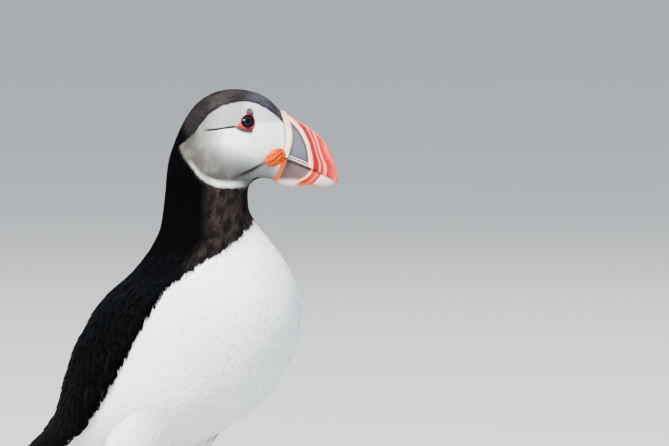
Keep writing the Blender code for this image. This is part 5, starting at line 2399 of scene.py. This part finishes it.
@dataclass
class Leg:
    """A bare shank with scutes, and a webbed foot with three clawed toes."""

    side: Side
    skin: Material
    horn: Material
    spread: float = 21.0
    ankle: Pair = (-50.0, 34.0)
    toe_root: Pair = (-42.0, 5.0)
    splay: float = 9.0
    claw_length: float = 7.0
    toes: ClassVar[tuple[Toe, ...]] = (
        Toe("outer", 24.0, 35.0, 2.1, 1.5, (0.30, 0.55, 0.78, 0.97)),
        Toe("middle", 2.0, 38.0, 2.3, 1.6, (0.38, 0.68, 0.96)),
        Toe("inner", -24.0, 28.0, 2.0, 1.5, (0.50, 0.95)),
    )
    # forward of the toes' root, height, radius
    heel: ClassVar[tuple[tuple[float, float, float], ...]] = (
        (0.0, 0.4, 2.0), (0.0, 1.0, 2.6), (0.0, 2.2, 3.0), (-0.5, 4.6, 2.7), (-1.3, 8.4, 1.7),
    )
    # share of the way up the shank, radius
    knob: ClassVar[tuple[Pair, ...]] = (
        (0.0, 1.2), (0.02, 1.7), (0.05, 2.15), (0.10, 2.45), (0.18, 2.4),
        (0.35, 2.25), (0.6, 2.3), (0.75, 2.6), (0.88, 3.25), (1.0, 3.1),
    )

    def __post_init__(self) -> None:
        """Places the toes' common root on the floor."""
        self.root = np.array([self.side.value * self.spread, self.toe_root[0]])

    def build(self) -> None:
        """Makes the shank, the foot and the claws."""
        self.shank()
        self.foot()
        for toe in self.toes:
            self.claw(toe)

    @staticmethod
    def _turns(columns: int) -> Array:
        """The angles of a ring's points."""
        return (np.arange(columns) + 0.5) * 2 * math.pi / columns

    def _tube(
        self, path: Array, radii: Array, columns: int, squeeze: float = 1.0, floor: bool = False
    ) -> Array:
        """Rings round a path, each square to it.

        Args:
            path: points, in mm.
            radii: radius at each.
            columns: points in a ring.
            squeeze: how much narrower it is sideways.
            floor: whether it is flattened on the floor.

        Returns:
            The rings.
        """
        ahead = unit(np.gradient(path, axis=0))
        steep = np.abs(ahead[:, 2:3]) > 0.75
        side = unit(np.where(steep, np.array([[1.0, 0, 0]]), np.cross(ahead, (0, 0, 1.0))))
        other = np.cross(side, ahead)
        turn = self._turns(columns)
        flat = squeeze * np.cos(turn)[:, None] * side[:, None] + np.sin(turn)[:, None] * other[:, None]
        rings = path[:, None] + np.reshape(radii, (len(path), -1, 1)) * flat
        if floor:
            rings[..., 2] = np.maximum(rings[..., 2], 0.0)
        return rings

    def shank(self) -> None:
        """The shank, with cross scutes down its front and small scales round it."""
        x, columns = self.root[0], 40
        top = np.array([x, self.ankle[0] + 0.3, self.ankle[1] + 2.6])
        foot = np.array([x, self.toe_root[0] - 1.3, 6.0])
        t = np.linspace(0, 1, 120)
        path = foot + (top - foot) * t[:, None]
        radius = read_off(self.knob, t)
        turn = self._turns(columns)
        scute = 0.13 * np.abs(np.sin(t * math.pi * 17))[:, None] ** 0.5
        front = eased((np.cos(turn - math.pi / 2) + 0.2) / 0.6)
        scales = 0.06 * np.sin(t * 190)[:, None] * np.sin(turn * 9)
        rings = self._tube(path, radius[:, None] + scute * front + scales * (1 - front), columns, 0.8)
        piece = loft(f"shank_skin_{self.side.word}", rings, self.skin)
        # darker between the scutes on the front and towards the top
        worn = np.clip(0.75 - scute * 7, 0, 1) * front * 0.6 + 0.35 * eased((t[:, None] - 0.7) / 0.3)
        put(piece, "worn", end_values(worn).ravel())
        dress(piece, Slot.LEG, f"shank_{self.side.word}")

    def _line(self, toe: Toe, t: Array) -> Array:
        """A toe's centre line on the floor."""
        turn = math.radians(self.splay + toe.angle) * self.side.value
        return self.root + np.outer(t * toe.length, [math.sin(turn), math.cos(turn)])

    def foot(self) -> None:
        """Three jointed toes, their webs and the heel, as one piece."""
        tips = [self._line(toe, np.ones(1))[0] for toe in self.toes]
        parts = [self._toe(toe) for toe in self.toes]
        parts += [self._web(a, b) for a, b in zip(tips, tips[1:])]
        parts.append(self._heel())
        points = np.concatenate([rings.reshape(-1, 3) for rings, _ in parts])
        starts = np.cumsum([0] + [rings[..., 0].size for rings, _ in parts])
        quads = [outward(rings, tube_quads(*rings.shape[:2])) + k for (rings, _), k in zip(parts, starts)]
        worn = [np.broadcast_to(part_worn, rings.shape[:2]).ravel() for rings, part_worn in parts]
        name = f"foot_{self.side.word}"
        piece = mesh_object(f"webbed_{name}", points, np.concatenate(quads), self.skin)
        put(piece, "worn", np.clip(np.concatenate(worn), 0, 1))
        dress(piece, Slot.LEG, name)

    def _toe(self, toe: Toe) -> tuple[Array, Array]:
        """A toe's closed rings, swollen at its joints, and how dark each is.

        Args:
            toe: the toe.

        Returns:
            The rings, and a share of wear for each.
        """
        t = np.linspace(0, 1, 70)
        plain = toe.root_radius + (toe.tip_radius - toe.root_radius) * t
        radius = plain
        for joint in toe.joints:
            radius = radius * (1 + 0.13 * bell(t - joint, 0.045))
        scute = 0.07 * np.abs(np.sin(t * math.pi * toe.length / 1.3)) ** 0.5
        path = np.column_stack([self._line(toe, t), 0.82 * plain * (1 + 0.5 * bell(t, 0.05))])
        rings = closed_rings(self._tube(path, radius * 0.97 + scute, 22, 1.0, True))
        dark = np.interp(t, [0, 0.9, 1], [0.15, 0.15, 0.5]) + 0.35 * (scute < 0.035)
        return rings, end_values(dark)[:, None]

    def _heel(self) -> tuple[Array, Array]:
        """The heel's closed rings, and how dark they are.

        Returns:
            The rings, and their wear.
        """
        line = np.array(self.heel)
        ahead, up, radius = (np.interp(np.linspace(0, 4, 32), range(5), line[:, k]) for k in range(3))
        path = np.column_stack([np.full(32, self.root[0]), self.root[1] + ahead, up])
        return closed_rings(self._tube(path, radius, 26, 0.9, True)), np.array(0.25)

    def _web(self, tip_a: Array, tip_b: Array) -> tuple[Array, Array]:
        """The web between two toes: thin, sagging, with creases that fan out from the root.

        Args:
            tip_a: one toe's end.
            tip_b: the other's.

        Returns:
            The web's closed rings, and its wear.
        """
        u, v = np.linspace(0.02, 1, 44)[:, None], np.linspace(0, 1, 26)
        edge = tip_a + (tip_b - tip_a) * v[:, None]
        edge = self.root + (edge - self.root) * (0.94 * (1 - 0.13 * np.sin(math.pi * v)))[:, None]
        flat = self.root + (edge - self.root)[None] * u[..., None]
        high = 0.9 + 0.25 * np.sin(v * math.pi * 9)[None] * u * np.sin(math.pi * v)[None]
        high = high + 0.9 * (np.abs(v - 0.5) * 2)[None] ** 3 * (1 - 0.4 * u)
        top = np.concatenate([flat, high[..., None]], -1)
        under = top.copy()
        under[..., 2] = np.maximum(high - 0.6, 0.15)
        return closed_rings(np.concatenate([top, under[:, ::-1]], axis=1), (0.9, 0.0)), np.array(0.0)

    def claw(self, toe: Toe) -> None:
        """A curved dark claw at a toe's end.

        Args:
            toe: the toe.
        """
        root, tip = self._line(toe, np.array([0.0, 1.0]))
        t = np.linspace(0, 1, 30)
        place = tip + unit(tip - root) * (0.4 + t * (self.claw_length + 0.5))[:, None]
        path = np.column_stack([place, 1.35 + 1.0 * np.sin(math.pi * t) - 0.75 * t])
        rings = self._tube(path, 1.28 * (1 - 0.88 * t**1.3), 18, 0.85, True)
        node = f"claw_{toe.name}_{self.side.word}"
        piece = loft(f"horn_{node}", rings, self.horn)
        put(piece, "worn", np.zeros(len(piece.data.vertices)))
        dress(piece, Slot.HORN, node)


@dataclass(frozen=True)
class Lamp:
    """A soft square lamp: degrees round from the camera and above the bird, metres away and wide, power."""

    name: str
    turn: float
    rise: float
    away: float
    size: float
    watts: float
    colour: Colour


@dataclass
class Studio:
    """Pale floor, soft lights and the camera."""

    azimuth: float = -58.0
    elevation: float = 3.0
    lens: float = 300.0
    distance: float = 2787.5
    aim: tuple[float, float] = (59.75, 172.5)
    floor: Colour = (0.40, 0.41, 0.42)
    floor_half: float = 60000.0
    sky: Colour = (0.60, 0.63, 0.66)
    sky_strength: float = 1.9
    lamps: ClassVar[tuple[Lamp, ...]] = (
        Lamp("key", -34.0, 46.0, 2.3, 0.9, 280.0, (1.0, 0.98, 0.95)),
        Lamp("fill", 70.0, 18.0, 2.6, 1.8, 26.0, (0.55, 0.88, 1.0)),
        Lamp("rim", 165.0, 40.0, 2.4, 1.0, 40.0, (0.95, 0.97, 1.0)),
    )

    def build(self) -> None:
        """Makes the floor, the sky's light, the lamps and the camera."""
        size = self.floor_half
        corners = np.array([(-size, -size, 0), (size, -size, 0), (size, size, 0), (-size, size, 0)])
        paper = StudioFinish("floor_paper", self.floor).make()
        ground = mesh_object("floor", corners, np.array([[0, 3, 2, 1]]), paper)
        if ground.data.polygons[0].normal.z < 0:
            ground.data.flip_normals()
        world = bpy.data.worlds.new("studio")
        world.use_nodes = True
        world.node_tree.nodes["Background"].inputs["Color"].default_value = (*self.sky, 1)
        world.node_tree.nodes["Background"].inputs["Strength"].default_value = self.sky_strength
        bpy.context.scene.world = world
        for lamp in self.lamps:
            self.light(lamp)
        self.camera()

    def _way(self, turn: float, rise: float) -> Vector:
        """A direction from the bird, turned from the camera's side and raised, in degrees."""
        turn, rise = math.radians(self.azimuth + turn), math.radians(rise)
        return Vector((math.sin(turn) * math.cos(rise), -math.cos(turn) * math.cos(rise), math.sin(rise)))

    def _stand(self, data: bpy.types.ID, start: Vector, way: Vector, away: float) -> Piece:
        """Puts a lamp or camera at a distance from a place, looking back at it.

        Args:
            data: the lamp or camera.
            start: the place.
            way: the direction from it.
            away: metres between them.

        Returns:
            The object.
        """
        made = bpy.data.objects.new(data.name, data)
        made.location = start + way * away
        made.rotation_euler = way.to_track_quat("Z", "Y").to_euler()
        bpy.context.scene.collection.objects.link(made)
        return made

    def light(self, lamp: Lamp) -> None:
        """Makes a lamp that faces the bird.

        Args:
            lamp: the lamp.
        """
        data = bpy.data.lights.new(lamp.name, "AREA")
        data.size, data.energy, data.color = lamp.size, lamp.watts, lamp.colour
        self._stand(data, Vector((0, 0, 0.15)), self._way(lamp.turn, lamp.rise), lamp.away)

    def camera(self) -> None:
        """The camera, level with the bird's breast and well back."""
        data = bpy.data.cameras.new("camera")
        data.lens, data.sensor_width, data.clip_end = self.lens, 36.0, 200.0
        turn, sideways = math.radians(self.azimuth), self.aim[0] * MM
        middle = to_world(np.zeros(3)) + np.array([math.cos(turn), math.sin(turn), 0.0]) * sideways
        target = Vector((middle[0], middle[1], self.aim[1] * MM))
        way = self._way(0.0, self.elevation)
        bpy.context.scene.camera = self._stand(data, target, way, self.distance * MM)


def main() -> None:
    """Builds the whole bird over its solid model, then the studio."""
    logging.basicConfig(level=logging.INFO, format="%(name)s %(message)s")
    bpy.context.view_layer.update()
    form = BodyForm()
    surface = SkinSurface(form)
    markings = Markings()
    finishes = {
        Slot.FACE: PlumageFinish("face_feathers", 0.7, 0.02, gloss=0.15, barbs=0.00002, contrast=0.05),
        Slot.WHITE: PlumageFinish("white_feathers", 0.68, 0.04, contrast=0.06),
        Slot.BLACK: PlumageFinish("black_feathers", 0.55, gloss=0.0028),
    }
    plumage = {slot: finish.make() for slot, finish in finishes.items()}
    quills = PlumageFinish("black_quills", 0.5, gloss=0.006, barbs=0.00005, pale_edge_and_sheen=2.8).make()
    Skin(surface, markings).build()
    Coat(surface, markings, plumage).build()
    ThighFeathers(surface, plumage[Slot.WHITE]).build()
    for side in Side:
        FoldedWing(surface, side, quills).build()
    Tail(quills, plumage).build()
    face = FaceMap(surface)
    red, black, rose = (0.30, 0.004, 0.010), (0.004, 0.0010, 0.0015), (0.40, 0.010, 0.018)
    plum, coal, ash = (0.010, 0.003, 0.004), (0.004, 0.001, 0.001), (0.020, 0.007, 0.008)
    slate, pit, edge = (0.044, 0.046, 0.051), (0.006, 0.006, 0.007), (0.075, 0.079, 0.086)
    eye_parts = {
        "eye": EyeFinish().make(),
        # the lid's near-black colour is its painted shade at the inner edge
        "lid": BareSkinFinish("red_lid", red, black, rose, 0.55).make(),
        "fold": BareSkinFinish("eye_fold", plum, coal, ash, 0.6).make(),
        "plate": BareSkinFinish("horny_plate", slate, pit, edge, 0.5, grain=2200.0, depth=0.00008).make(),
    }
    for side in Side:
        Eye(side, face, eye_parts).build()
    Bill(face).build()
    orange, rust, amber = (0.52, 0.060, 0.006), (0.20, 0.022, 0.005), (0.64, 0.11, 0.012)
    # the claw's third colour is its lighter, worn horn
    horn, soot, worn = (0.006, 0.005, 0.0045), (0.003, 0.0025, 0.002), (0.015, 0.012, 0.010)
    scaly = BareSkinFinish("scaly_leg", orange, rust, amber, 0.42, grain=900.0, depth=0.00018, coat=0.15)
    nail = BareSkinFinish("claw_horn", horn, soot, worn, 0.32)
    leg_skin, claw_horn = scaly.make(), nail.make()
    for side in Side:
        Leg(side, leg_skin, claw_horn).build()
    Studio().build()


if __name__ == "__main__":
    main()
